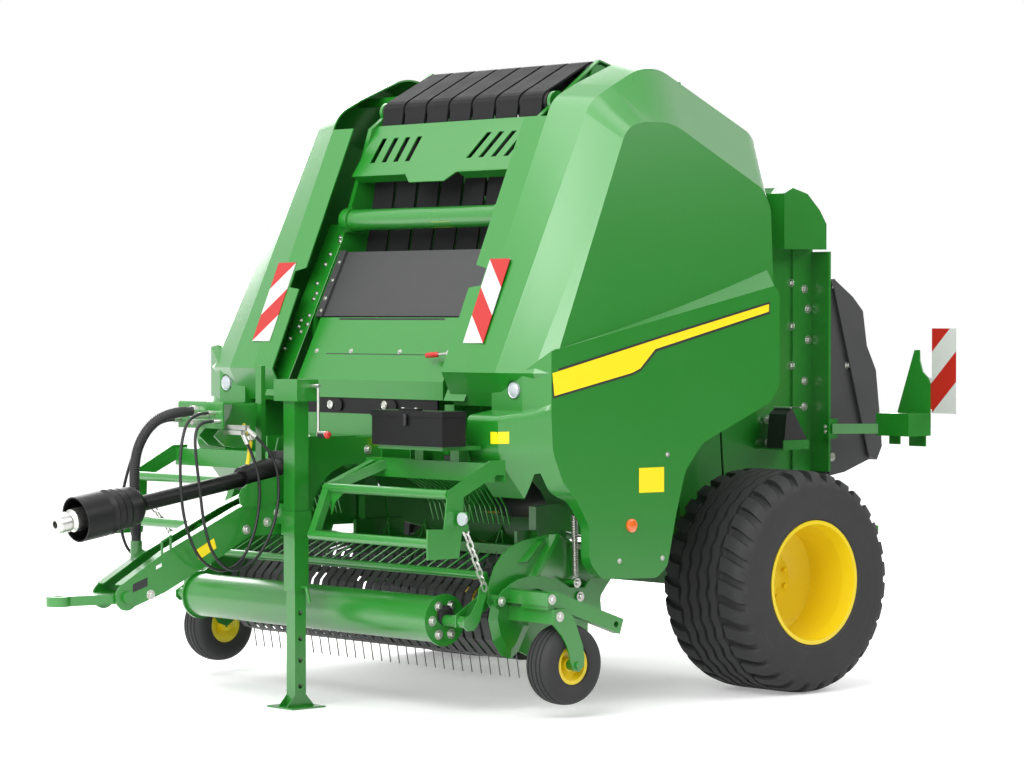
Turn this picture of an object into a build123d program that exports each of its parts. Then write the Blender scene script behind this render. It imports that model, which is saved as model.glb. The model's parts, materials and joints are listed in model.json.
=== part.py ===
# Towed round baler: bale chamber with side doors, tailgate, pickup, drawbar and running gear.
# Millimetres, +Z up, -Y forward (the drawbar), +X the machine's left.
# Every y below is measured from the axle; the helpers add AXLE_Y, so that the origin lies
# on the ground under the middle of the machine's length.
import math
import os

from build123d import *

os.makedirs("parts", exist_ok=True)

# ---- driving dimensions ----
HITCH_TIP_Y = -3446.0
RAMP_END_Y = 1280.0
AXLE_Y = -(HITCH_TIP_Y + RAMP_END_Y) / 2

GAP = 0.3          # between faces of neighbouring bodies
RUN = 0.05         # radial clearance of a pin or shaft in its bore
SHEET = 8.0        # frame plates
SKIN = 7.0         # moulded door panels

WALL_IN = 607.0    # inner face of the chamber walls
WALL_OUT = WALL_IN + SHEET

WHEEL_X = 1140.0
WHEEL_R = 535.0
TYRE_HALF = 275.0
RIM_HALF = 258.0
RIM_R = 298.5
SPINDLE_R = 45.0

GAUGE_X = 1300.0
GAUGE_Y = -1545.0
GAUGE_Z = 244.0
GAUGE_R = 184.0
GAUGE_HALF = 78.5
GAUGE_PIN_R = 12.0

REEL_Y = -1520.0
REEL_Z = 440.0
TINE_R = 285.0
BAND_R = 205.0
REEL_STUB_R = 25.0
PICKUP_HALF = 1050.0
LIFT_Y = -1060.0   # the pickup swings about the feed rotor's axis line
LIFT_Z = 640.0
LIFT_PIN_R = 25.0

GUARD_Y = -1930.0  # windguard roller
GUARD_Z = 440.0
GUARD_R = 105.0
GUARD_PIVOT_Y = -1500.0
GUARD_PIVOT_Z = 700.0
GUARD_PIN_R = 15.0
RACK_Y = -1790.0   # cross tube of the crop rods
RACK_Z = 640.0
ARM_X = PICKUP_HALF - 20     # inner face of the windguard's arms, outside the last tine
LOW_TUBE_Y = -1225.0
LOW_TUBE_Z = 255.0
LOW_TUBE_R = 30.0

ROTOR_R = 172.0
ROTOR_HALF = 560.0
ROTOR_PLATE = 595.0
ROTOR_STUB_R = 30.0

TAIL_HINGE_Y = 20.0
TAIL_HINGE_Z = 2520.0
TAIL_PIN_R = 28.0

DOOR_HINGE_X = 655.0
DOOR_HINGE_Z = 2905.0
DOOR_PIN_R = 12.0
DOOR_ARMS = ((-860.0, 1022.0), (-560.0, 1001.0))   # y, reach out to the skin

JACK_X = 170.0
JACK_Y = -2190.0
JACK_TUBE = 82.0
JACK_LEG = 64.0
JACK_WALL = (JACK_TUBE - JACK_LEG) / 2 - GAP

EYE_Y = -3391.0
EYE_Z = 549.0
EYE_R = 55.0
EYE_BORE_R = 25.5

PTO_ANGLE = 9.3
PTO_TIP_Y = -3408.0
PTO_TIP_Z = 889.0
PTO_BORE_R = 17.5


# ---- planes and plain forms ----
def side_plane(x):
    # profiles are (y from the axle, z), facing +X
    return Plane(origin=(x, AXLE_Y, 0), x_dir=(0, 1, 0), z_dir=(1, 0, 0))


def front_plane(y):
    # profiles are (x, z), facing forward
    return Plane(origin=(0, AXLE_Y + y, 0), x_dir=(1, 0, 0), z_dir=(0, -1, 0))


def level_plane(z):
    return Plane(origin=(0, AXLE_Y, z), x_dir=(1, 0, 0), z_dir=(0, 0, 1))


def outline(plane, points):
    with BuildSketch(plane) as profile:
        with BuildLine():
            Polyline(*points, close=True)
        make_face()
    return profile.sketch


def slab_x(points, x0, x1, mode=Mode.ADD):
    low, high = sorted((x0, x1))
    extrude(outline(side_plane(low), points), amount=high - low, dir=(1, 0, 0), mode=mode)


def slab_y(points, y0, y1, mode=Mode.ADD):
    extrude(outline(front_plane(y1), points), amount=y1 - y0, dir=(0, -1, 0), mode=mode)


def slab_z(points, z0, z1, mode=Mode.ADD):
    extrude(outline(level_plane(z0), points), amount=z1 - z0, dir=(0, 0, 1), mode=mode)


def block(x0, x1, y0, y1, z0, z1, mode=Mode.ADD):
    centre = ((x0 + x1) / 2, AXLE_Y + (y0 + y1) / 2, (z0 + z1) / 2)
    with Locations(centre):
        Box(abs(x1 - x0), abs(y1 - y0), abs(z1 - z0), mode=mode)


def path_plane(start, end):
    along = Vector(*end) - Vector(*start)
    return Plane(origin=(start[0], AXLE_Y + start[1], start[2]), z_dir=along)


def span(start, end):
    return (Vector(*end) - Vector(*start)).length


def rod(start, end, radius, mode=Mode.ADD):
    with BuildSketch(path_plane(start, end)) as section:
        Circle(radius)
    extrude(section.sketch, amount=span(start, end), dir=path_plane(start, end).z_dir, mode=mode)


def thin_rod(start, end, radius, sides=6, mode=Mode.ADD):
    with BuildSketch(path_plane(start, end)) as section:
        RegularPolygon(radius, sides)
    extrude(section.sketch, amount=span(start, end), dir=path_plane(start, end).z_dir, mode=mode)


def bar(start, end, width, height, mode=Mode.ADD):
    # rectangular bar; width lies level, across the bar
    along = Vector(*end) - Vector(*start)
    level = Vector(0, 0, 1).cross(along)
    if level.length < 1e-6:
        level = Vector(1, 0, 0)
    plane = Plane(origin=(start[0], AXLE_Y + start[1], start[2]), x_dir=level, z_dir=along)
    with BuildSketch(plane) as section:
        Rectangle(width, height)
    extrude(section.sketch, amount=along.length, dir=plane.z_dir, mode=mode)


def turned_x(points, x, y, z, side=1, mode=Mode.ADD):
    # points are (distance along X on the given side, radius)
    plane = Plane(origin=(x, AXLE_Y + y, z), x_dir=(side, 0, 0), z_dir=(0, -side, 0))
    revolve(outline(plane, points), axis=Axis((x, AXLE_Y + y, z), (1, 0, 0)), mode=mode)


def disc_x(y, z, radius, x0, x1, mode=Mode.ADD):
    low, high = sorted((x0, x1))
    rod((low, y, z), (high, y, z), radius, mode=mode)


def band(points, thickness, x0, x1, mode=Mode.ADD):
    # a strip of constant thickness along a (y, z) path, inset on its left hand
    inner = shifted(points, thickness)
    slab_x(list(points) + inner[::-1], x0, x1, mode=mode)


def shifted(points, distance):
    # open polyline moved sideways by distance, to its left, with mitred corners
    moved = []
    for k in range(len(points)):
        before = points[max(k - 1, 0)]
        here = points[k]
        after = points[min(k + 1, len(points) - 1)]
        if k == 0:
            before = here
        first = unit(before, here) if k > 0 else unit(here, after)
        second = unit(here, after) if k < len(points) - 1 else first
        left = (-(first[1] + second[1]), first[0] + second[0])
        size = math.hypot(*left)
        left = (left[0] / size, left[1] / size)
        cosine = -left[0] * first[1] + left[1] * first[0]
        moved.append((here[0] + left[0] * distance / cosine, here[1] + left[1] * distance / cosine))
    return moved


def unit(a, b):
    length = math.hypot(b[0] - a[0], b[1] - a[1])
    return ((b[0] - a[0]) / length, (b[1] - a[1]) / length)


def inset(points, distance):
    # closed polygon moved inward by distance with mitred corners; points run clockwise
    count = len(points)
    moved = []
    for k in range(count):
        first = unit(points[k - 1], points[k])
        second = unit(points[k], points[(k + 1) % count])
        right = (first[1] + second[1], -(first[0] + second[0]))
        size = math.hypot(*right)
        right = (right[0] / size, right[1] / size)
        cosine = right[0] * first[1] - right[1] * first[0]
        here = points[k]
        moved.append((here[0] + right[0] * distance / cosine, here[1] + right[1] * distance / cosine))
    return moved


def loft_x(points_a, x_a, points_b, x_b, mode=Mode.ADD):
    first = outline(side_plane(x_a), points_a).face()
    second = outline(side_plane(x_b), points_b).face()
    loft([first, second], ruled=True, mode=mode)


def save(body, name):
    body.part.label = name
    export_step(body.part, f"parts/{name}.step")


# ---- main wheels ----


def flank(share):
    # radius at a share of the sidewall's height
    return RIM_R + share * (WHEEL_R - RIM_R)


TYRE_OUTER = [
    (246, RIM_R - 8), (246, flank(0.02)), (262, flank(0.09)), (273, flank(0.28)), (TYRE_HALF, flank(0.47)),
    (270, flank(0.66)), (255, flank(0.8)), (225, flank(0.9)), (120, flank(0.95)), (0, flank(0.96)),
    (-120, flank(0.95)), (-225, flank(0.9)), (-255, flank(0.8)), (-270, flank(0.66)),
    (-TYRE_HALF, flank(0.47)), (-273, flank(0.28)), (-262, flank(0.09)), (-246, flank(0.02)),
    (-246, RIM_R - 8),
]
TYRE_INNER = [
    (-212, RIM_R - 8), (-240, flank(0.45)), (-215, flank(0.77)), (0, flank(0.86)), (215, flank(0.77)),
    (240, flank(0.45)), (212, RIM_R - 8),
]
LUG_COUNT = 30
# a shoulder lug seen from outside: along the axle and round the tyre
LUG_PLAN = [(128, -14), (205, -30), (269, -68), (269, -20), (215, 14), (132, 26)]
RIM_SECTION = [
    (RIM_HALF, RIM_R), (RIM_HALF, 280), (190, 268), (-15, 262), (-38, 130), (-38, SPINDLE_R + RUN),
    (-150, SPINDLE_R + RUN), (-150, 85), (-55, 85), (-55, 135), (-32, 268), (-190, 272),
    (-RIM_HALF, 280), (-RIM_HALF, RIM_R), (-246.5, RIM_R), (-246.5, 288), (-190, 286), (0, 276),
    (190, 286), (246.5, 288), (246.5, RIM_R),
]

for side, name in ((1, "left"), (-1, "right")):
    with BuildPart() as tyre:
        turned_x(TYRE_OUTER + TYRE_INNER, side * WHEEL_X, 0, WHEEL_R, side)
        # shoulder lugs, those of the inner shoulder half a pitch further on
        lug_foot = flank(0.82)
        lug_high = WHEEL_R - lug_foot
        for shoulder, offset in ((1, 0), (-1, 0.5)):
            with BuildPart(Plane.XY, mode=Mode.PRIVATE) as lug:
                with BuildSketch(Plane.XY.offset(lug_foot)) as plan:
                    with BuildLine():
                        Polyline(*[(shoulder * along, shoulder * side * round_) for along, round_ in LUG_PLAN],
                                 close=True)
                    make_face()
                extrude(plan.sketch, amount=lug_high, dir=(0, 0, 1))
            places = []
            for k in range(LUG_COUNT):
                turn = 360 * (k + offset) / LUG_COUNT
                places.append(Location((side * WHEEL_X, AXLE_Y, WHEEL_R)) * Location((0, 0, 0), (turn, 0, 0)))
            with Locations(*places):
                add(lug.part)
    save(tyre, f"tyre_{name}")

    with BuildPart() as rim:
        turned_x(RIM_SECTION, side * WHEEL_X, 0, WHEEL_R, side)
        cap_at = side * (WHEEL_X - 38)
        disc_x(0, WHEEL_R, 75, cap_at - side * 2, cap_at + side * 6)
        disc_x(0, WHEEL_R, 45, cap_at, cap_at + side * 32)
        for k in range(8):
            turn = math.radians(45 * k + 22.5)
            disc_x(100 * math.cos(turn), WHEEL_R + 100 * math.sin(turn), 13, cap_at - side * 5,
                   cap_at + side * 18)
    save(rim, f"rim_{name}")

# ---- axle ----
with BuildPart() as axle:
    block(-790, 790, -60, 60, WHEEL_R - 60, WHEEL_R + 60)
    disc_x(0, WHEEL_R, SPINDLE_R, -(WHEEL_X - 45), WHEEL_X - 45)
    for side in (1, -1):
        disc_x(0, WHEEL_R, 80, side * 790, side * 815)
save(axle, "axle_beam")

# ---- chamber walls, fixed to the frame ----
CUT_Y = -1250.0    # round cut-out over the pickup
CUT_Z = 820.0
CUT_R = 250.0
CUT_ARC = []
for degrees in range(10, 171, 16):
    turn = math.radians(degrees)
    CUT_ARC.append((CUT_Y + CUT_R * math.cos(turn), CUT_Z + CUT_R * math.sin(turn)))
WALL_FRONT = [(-990, 800)] + CUT_ARC + [
    (-1512, 863), (-1512, 1245), (-1440, 1330), (-1440, 1500), (-1466, 1806), (-1306, 2140), (-1180, 2500),
    (-1098, 2750), (-700, 3046), (-330, 2940), (-20, 2590), (55, 2450), (115, 1600), (175, 800),
]
SPLIT_GAP = 14.0

for side, name in ((1, "left"), (-1, "right")):
    with BuildPart() as wall:
        slab_x(WALL_FRONT, side * WALL_IN, side * WALL_OUT)
        edge = [(-1440, 1500), (-1466, 1806), (-1306, 2140), (-1180, 2500), (-1098, 2750), (-700, 3046),
                (-330, 2940)]
        band(edge, -SHEET, side * WALL_OUT, side * (WALL_OUT + 20))
        # tailgate pivot
        disc_x(TAIL_HINGE_Y, TAIL_HINGE_Z, 60, side * WALL_OUT, side * (WALL_OUT + 6))
        disc_x(TAIL_HINGE_Y, TAIL_HINGE_Z, TAIL_PIN_R, side * WALL_OUT, side * (WALL_OUT + 40))
        # door hinge lugs and their pins
        for y, reach in DOOR_ARMS:
            block(side * WALL_OUT, side * (DOOR_HINGE_X + 18), y - 6, y + 6, DOOR_HINGE_Z - 60,
                  DOOR_HINGE_Z + 18)
            rod((side * DOOR_HINGE_X, y + 6, DOOR_HINGE_Z), (side * DOOR_HINGE_X, y + 48, DOOR_HINGE_Z),
                DOOR_PIN_R)
        # roller bearing housings and the drive side's sprockets
        for y, z, radius in ((-700, 2960, 60), (-975, 2835, 50), (-1120, 1150, 80), (-1330, 1640, 60)):
            disc_x(y, z, radius, side * WALL_OUT, side * (WALL_OUT + 22))
    save(wall, f"chamber_wall_{name}")

# ---- main frame under and beside the chamber ----
FRAME_OUT = 700.0
AXLE_TOP = WHEEL_R + 60
with BuildPart() as frame:
    for side in (1, -1):
        # side member from the rotor to the rear, carried by the axle
        slab_x([(-1140, 800), (-1140, 910), (-1000, 920), (-300, 790), (330, 760), (330, AXLE_TOP + 45),
                (60, AXLE_TOP + 5), (-60, AXLE_TOP + 5), (-300, AXLE_TOP + 45), (-1000, 800)],
               side * (WALL_OUT + GAP), side * (WALL_OUT + 50))
        # axle bracket and bolted plates
        slab_x([(-160, AXLE_TOP + GAP), (160, AXLE_TOP + GAP), (160, AXLE_TOP + 165), (60, AXLE_TOP + 305),
                (-60, AXLE_TOP + 305), (-160, AXLE_TOP + 165)], side * (WALL_OUT + 50), side * FRAME_OUT)
        slab_x([(-300, 1080), (-60, 1080), (40, 1300), (40, 1560), (-60, 1600), (-60, 1360)],
               side * (WALL_OUT + GAP), side * (WALL_OUT + 35))
        block(side * (WALL_OUT + GAP), side * (WALL_OUT + 45), -180, -60, 760, 1360)
        # lower plate: carries the feed rotor and the pickup's pivot pins
        slab_x([(-1215, 795), (-1215, 560), (-1140, 480), (-980, 480), (-900, 560), (-900, 795)],
               side * ROTOR_PLATE, side * WALL_OUT)
        slab_x([(-1130, 820), (-1130, 600), (-1060, 585), (-990, 600), (-990, 820)],
               side * WALL_OUT, side * (WALL_OUT + 50))
        disc_x(LIFT_Y, LIFT_Z, LIFT_PIN_R, side * (WALL_OUT + 50), side * (WALL_OUT + 82))
        disc_x(LIFT_Y, LIFT_Z, ROTOR_STUB_R + RUN, side * (ROTOR_PLATE - 5), side * (WALL_OUT + 1),
               mode=Mode.SUBTRACT)
    block(-WALL_OUT - 40, WALL_OUT + 40, -60, 60, AXLE_TOP + GAP, AXLE_TOP + 45)
save(frame, "main_frame")

# ---- fixed rollers of the chamber ----
ROLLERS = (
    # y, z, radius
    (-700, 2960, 70),
    (-975, 2835, 50),
    (-1330, 1640, 60),
    (-1120, 1150, 100),
    (-180, 880, 110),
)
with BuildPart() as rollers:
    for y, z, radius in ROLLERS:
        disc_x(y, z, radius, -(WALL_IN - GAP), WALL_IN - GAP)
save(rollers, "chamber_rollers")

# ---- belts of the front half: seven strips over the top and front rollers ----
BELT = 9.0
BELT_HALF = 590.0
BELT_COUNT = 7
BELT_SLIT = 22.0


def wrap(roller, first, last):
    # points of a belt's inner face round a roller, from one angle to another
    y, z, radius = roller
    steps = max(2, round(abs(last - first) / 20))
    clear = (radius + GAP) / math.cos(math.radians(abs(last - first) / steps / 2))
    points = []
    for k in range(steps + 1):
        turn = math.radians(first + (last - first) * k / steps)
        points.append((y + clear * math.cos(turn), z + clear * math.sin(turn)))
    return points


def belt_strips(path, thickness, mode=Mode.ADD):
    pitch = (2 * BELT_HALF + BELT_SLIT) / BELT_COUNT
    for k in range(BELT_COUNT):
        low = -BELT_HALF + k * pitch
        band(path, thickness, low, low + pitch - BELT_SLIT, mode=mode)


with BuildPart() as belts:
    belt_strips([(-1230, 1700), (-1110, 2300)] + wrap(ROLLERS[1], 185, 120) + wrap(ROLLERS[0], 115, -20)
                + [(-480, 2500), (-120, 2300)], BELT)
save(belts, "front_belts")

# ---- slotted upper beam and the cross tube under it ----
BEAM_TOP = (-1058.0, 2764.0)
BEAM_LOW = (-1230.0, 2507.0)
BEAM_HALF = WALL_IN - GAP
SLOTS = (
    # centre x, height, slant of the slot's top
    (-500, 150, 0), (-410, 150, 0), (-320, 150, 0), (-230, 150, 0),
    (230, 150, 60), (320, 150, 60), (410, 150, 60), (500, 150, 60),
)
beam_up = Vector(0, BEAM_TOP[0] - BEAM_LOW[0], BEAM_TOP[1] - BEAM_LOW[1])
beam_plane = Plane(origin=(0, AXLE_Y + BEAM_LOW[0], BEAM_LOW[1]), x_dir=(1, 0, 0),
                   z_dir=Vector(1, 0, 0).cross(beam_up))
BEAM_HEIGHT = beam_up.length

with BuildPart() as beam:
    with BuildSketch(beam_plane) as face:
        with BuildLine():
            Polyline((-BEAM_HALF, 0), (-BEAM_HALF, BEAM_HEIGHT), (BEAM_HALF, BEAM_HEIGHT),
                     (BEAM_HALF, 0), (190, 0), (130, -50), (-130, -50), (-190, 0), close=True)
        make_face()
        for x, height, slant in SLOTS:
            low = BEAM_HEIGHT / 2 - height / 2
            with BuildLine(mode=Mode.PRIVATE) as slot:
                Polyline((x - 18, low), (x - 18 + slant, low + height), (x + 18 + slant, low + height),
                         (x + 18, low), close=True)
            make_face(slot.edges(), mode=Mode.SUBTRACT)
    extrude(face.sketch, amount=6, dir=-beam_plane.z_dir)
    # flange along the bottom edge
    band([(BEAM_LOW[0] + 1, BEAM_LOW[1] + 2), (BEAM_LOW[0] + 60, BEAM_LOW[1] - 30)], 6, -BEAM_HALF,
         -195)
    band([(BEAM_LOW[0] + 1, BEAM_LOW[1] + 2), (BEAM_LOW[0] + 60, BEAM_LOW[1] - 30)], 6, 195, BEAM_HALF)
save(beam, "slotted_beam")

TUBE_Y = -1258.0
TUBE_Z = 2288.0
with BuildPart() as tube:
    disc_x(TUBE_Y, TUBE_Z, 52, -WALL_IN + GAP, WALL_IN - GAP)
    for side in (1, -1):
        disc_x(TUBE_Y, TUBE_Z, 62, side * (WALL_IN - 60), side * (WALL_IN - 6))
save(tube, "cross_tube")

# ---- window board between the cross tube and the hood ----
with BuildPart() as board:
    band([(-1446, 1812), (-1290, 2130)], -6, -560, 560)
    for side in (1, -1):
        band([(-1462, 1812), (-1302, 2138)], -14, side * (560 + GAP), side * (WALL_IN - GAP))
save(board, "window_board")

# ---- hood over the crop intake, with the beam below it ----
HOOD_HALF = 550.0
with BuildPart() as hood:
    band([(-1620, 1420), (-1620, 1506), (-1472, 1806)], -6, -HOOD_HALF, HOOD_HALF)
    for side in (1, -1):
        slab_x([(-1620, 1420), (-1620, 1506), (-1472, 1806), (-1400, 1806), (-1400, 1420)],
               side * (HOOD_HALF - 6), side * HOOD_HALF)
    block(-560, 560, -1610, -1530, 1240, 1345)
    for side in (1, -1):
        # posts back to the chamber walls, and the hood's flanges on them
        block(side * 540, side * (WALL_IN - GAP), -1600, -1380, 1240, 1400)
        block(side * (HOOD_HALF - 1), side * (WALL_IN - GAP), -1440, -1390, 1400, 1600)
save(hood, "front_hood")

with BuildPart() as strip:
    block(-500, 500, -1612, -1600, 1345 + GAP, 1418)
    for x in (-230, 180):
        rod((x, -1612, 1384), (x, -1622, 1384), 30)
save(strip, "sensor_strip")

# ---- drawbar: two side plates, the tongue and the eye ----
ARCH_Y = -1790.0   # arch in the drawbar's root, over the pickup
ARCH_Z = 865.0
ARCH_R = 250.0
ARCH = []
for degrees in range(60, 181, 15):
    turn = math.radians(degrees)
    ARCH.append((ARCH_Y + ARCH_R * math.cos(turn), ARCH_Z + ARCH_R * math.sin(turn)))
ROOT_Y = -1612.0 - GAP
ROOT_TOP = 1239.0
DRAW_TOP = [(-3120, 612), (-2877, 749), (-2470, 930), (-2250, 1008), (-2150, 1040), (-2095, ROOT_TOP),
            (ROOT_Y, ROOT_TOP)]
DRAW_LOW = [(-2035, 805), (-2400, 800), (-2590, 700), (-2880, 566), (-3090, 497)]
DRAW_HALF = 94.0
# plate over the root of the drawbar on its left, round at its front end
NOSE = [(-2192, 962), (-2385, 931), (-2428, 930), (-2458, 950), (-2466, 985), (-2450, 1020), (-2420, 1038),
        (-2385, 1046), (-2192, 1078)]
with BuildPart() as drawbar:
    for side in (1, -1):
        slab_x(DRAW_TOP + [(ROOT_Y, 1120)] + ARCH + DRAW_LOW, side * (DRAW_HALF - 10), side * DRAW_HALF)
        disc_x(-3088, 555, 60, side * (DRAW_HALF - 10), side * DRAW_HALF)
        band(DRAW_TOP[:4], -8, side * (DRAW_HALF - 50), side * DRAW_HALF)
        band(DRAW_LOW[::-1][1:4], 8, side * (DRAW_HALF - 50), side * DRAW_HALF)
        if side > 0:
            slab_x(NOSE, DRAW_HALF - 1, DRAW_HALF + 8)
    disc_x(-3088, 555, 16 + GAP, -DRAW_HALF, DRAW_HALF, mode=Mode.SUBTRACT)
    block(-DRAW_HALF, DRAW_HALF, -2600, -2588, 705, 860)
    block(-DRAW_HALF + 5, DRAW_HALF - 5, -2380, -2045, 801, 809)
    block(-DRAW_HALF + 5, DRAW_HALF - 5, -1630, ROOT_Y, 1125, ROOT_TOP)
    block(-DRAW_HALF + 5, DRAW_HALF - 5, -2165, -2010, 995, 1005)
    # loop on the top edge, and the glands of the hoses that end here
    bar((DRAW_HALF - 6, -2892, 736), (DRAW_HALF - 6, -2892, 800), 8, 8)
    bar((DRAW_HALF - 6, -2896, 796), (DRAW_HALF - 6, -2840, 822), 8, 8)
    bar((DRAW_HALF - 6, -2844, 824), (DRAW_HALF - 6, -2844, 760), 8, 8)
    rod((-149.98, -2814.95, 689.98), (-143.3, -2787.8, 679.1), 11)
    block(-157, -DRAW_HALF + 2, -2797, -2775, 664, 694)
    rod((-179.99, -2709.95, 689.99), (-175, -2681, 684.2), 11)
    block(-189, -DRAW_HALF + 2, -2690, -2668, 669, 699)
    block(-140, -DRAW_HALF + 2, -2908, -2872, 690, 718)
    rod((-115, -2890, 712), (-115, -2890, 790), 27)
save(drawbar, "drawbar")

with BuildPart() as eye:
    with BuildSketch(level_plane(EYE_Z - 22)) as plan:
        with Locations((0, EYE_Y)):
            Circle(EYE_R)
        with BuildLine():
            Polyline((-38, EYE_Y + 20), (-60, EYE_Y + 130), (-83, -3110), (-83, -3010), (83, -3010),
                     (83, -3110), (60, EYE_Y + 130), (38, EYE_Y + 20), close=True)
        make_face()
        with Locations((0, EYE_Y)):
            Circle(EYE_BORE_R, mode=Mode.SUBTRACT)
    extrude(plan.sketch, amount=44, dir=(0, 0, 1))
    disc_x(-3088, 555, 16, -DRAW_HALF - 14, DRAW_HALF + 14)
    for side in (1, -1):
        disc_x(-3088, 555, 27, side * (DRAW_HALF + GAP), side * (DRAW_HALF + 16))
save(eye, "hitch_eye")

# ---- gearbox and the shaft guard ----
pto = Vector(0, math.cos(math.radians(PTO_ANGLE)), math.sin(math.radians(PTO_ANGLE)))


def pto_point(distance):
    return (0, PTO_TIP_Y + pto.Y * distance, PTO_TIP_Z + pto.Z * distance)


def pto_turned(points, mode=Mode.ADD):
    # points are (distance from the tip, radius) about the inclined shaft
    plane = Plane(origin=(0, AXLE_Y + PTO_TIP_Y, PTO_TIP_Z), x_dir=pto, z_dir=(1, 0, 0))
    axis = Axis((0, AXLE_Y + PTO_TIP_Y, PTO_TIP_Z), (0, pto.Y, pto.Z))
    revolve(outline(plane, points), axis=axis, mode=mode)


PTO_LENGTH = 1250.0
GEAR_Y = PTO_TIP_Y + pto.Y * PTO_LENGTH
GEAR_Z = PTO_TIP_Z + pto.Z * PTO_LENGTH
with BuildPart() as gearbox:
    block(-78, 78, GEAR_Y + 12, -2010, 1005 + GAP, GEAR_Z + 90)
    rod((0, -2020, GEAR_Z + 20), (0, ROOT_Y - 40, GEAR_Z + 90), 30)
    pto_turned([(PTO_LENGTH - 60, 0), (PTO_LENGTH - 60, 55), (PTO_LENGTH + 30, 55), (PTO_LENGTH + 30, 0)])
    pto_turned([(PTO_LENGTH - 62, 0), (PTO_LENGTH - 62, 25 + RUN), (PTO_LENGTH + 2, 25 + RUN),
                (PTO_LENGTH + 2, 0)], mode=Mode.SUBTRACT)
save(gearbox, "gearbox")

GUARD_RINGS = [(250, 103)]
for k in range(5):
    GUARD_RINGS.append((258 + 36 * k, 90))
    GUARD_RINGS.append((282 + 36 * k, 103 - 4 * k))
PTO_TUBE_END = PTO_LENGTH - 210
with BuildPart() as guard:
    pto_turned([(112, 97), (112, 103)] + GUARD_RINGS + [(446, 70), (470, 44), (480, 36), (PTO_TUBE_END, 36),
               (PTO_TUBE_END, 56), (PTO_TUBE_END + 80, 66), (PTO_LENGTH - 35, 66), (PTO_LENGTH - 35, 55 + GAP),
               (PTO_TUBE_END + 80, 55 + GAP), (PTO_TUBE_END + 10, 50), (PTO_TUBE_END + 10, 30), (440, 30),
               (430, 60), (390, 74), (256, 82), (246, 97)])
save(guard, "pto_guard")

with BuildPart() as shaft:
    pto_turned([(0, 30), (0, 40), (12, 46), (62, 46), (75, 40), (90, 52), (180, 52), (240, 25), (PTO_LENGTH, 25),
                (PTO_LENGTH, 0), (80, 0), (80, PTO_BORE_R), (0, PTO_BORE_R)])
save(shaft, "pto_shaft")

# ---- front frame: the beam that joins the chamber walls and carries the drawbar ----
with BuildPart() as front:
    block(-WALL_IN + GAP, WALL_IN - GAP, -1612, -1540, 1165, 1239)
    for side in (1, -1):
        block(side * (WALL_IN - 60), side * (WALL_IN - GAP), -1550, -1450, 1100, 1239)
save(front, "front_frame")

# ---- parking jack ----
JACK_HALF = JACK_TUBE / 2
LEG_HALF = JACK_LEG / 2
LEG_REACH = 300.0
with BuildPart() as jack:
    block(JACK_X - JACK_HALF, JACK_X + JACK_HALF, JACK_Y - JACK_HALF, JACK_Y + JACK_HALF, 540, 1420)
    block(JACK_X - JACK_HALF - 8, JACK_X + JACK_HALF + 8, JACK_Y - JACK_HALF - 8, JACK_Y + JACK_HALF + 8,
          800, 910)
    bore = JACK_HALF - JACK_WALL
    block(JACK_X - bore, JACK_X + bore, JACK_Y - bore, JACK_Y + bore, 530, 1415, mode=Mode.SUBTRACT)
    block(JACK_X - 88, JACK_X + 88, JACK_Y - 62, JACK_Y + 62, 1420, 1520)
    # pin of the leg with its bent grip
    rod((JACK_X + JACK_HALF - 2, JACK_Y, 560), (JACK_X + JACK_HALF + 40, JACK_Y, 560), 8)
    rod((JACK_X + JACK_HALF + 34, JACK_Y, 564), (JACK_X + JACK_HALF + 52, JACK_Y + 6, 490), 8)
    # clamp to the drawbar's side plate
    block(DRAW_HALF + GAP, JACK_X - JACK_HALF, JACK_Y - 50, JACK_Y + 50, 850, 945)
save(jack, "jack_tube")

with BuildPart() as leg:
    block(JACK_X - LEG_HALF, JACK_X + LEG_HALF, JACK_Y - LEG_HALF, JACK_Y + LEG_HALF, 8, 1080)
    inner = LEG_HALF - 5
    block(JACK_X - inner, JACK_X + inner, JACK_Y - inner, JACK_Y + inner, 8, 1090, mode=Mode.SUBTRACT)
    for z in (100, 220, 320, 440):
        disc_x(JACK_Y, z, 12, JACK_X - LEG_HALF - 5, JACK_X + LEG_HALF + 5, mode=Mode.SUBTRACT)
    block(JACK_X - 97, JACK_X + 97, JACK_Y - 97, JACK_Y + 97, 0, 8)
    for side in (1, -1):
        slab_x([(JACK_Y - 80, 8), (JACK_Y + 80, 8), (JACK_Y + LEG_HALF, 60), (JACK_Y - LEG_HALF, 60)],
               JACK_X + side * (LEG_HALF - 4), JACK_X + side * LEG_HALF)
save(leg, "jack_leg")

with BuildPart() as crank:
    crank_x = JACK_X + 88 + GAP
    rod((crank_x, JACK_Y + 20, 1490), (crank_x + 60, JACK_Y + 20, 1490), 9)
    rod((crank_x + 52, JACK_Y + 20, 1494), (crank_x + 52, JACK_Y + 20, 1262), 7)
    rod((crank_x + 52, JACK_Y + 20, 1270), (crank_x + 130, JACK_Y + 20, 1270), 14)
save(crank, "jack_crank")

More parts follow.
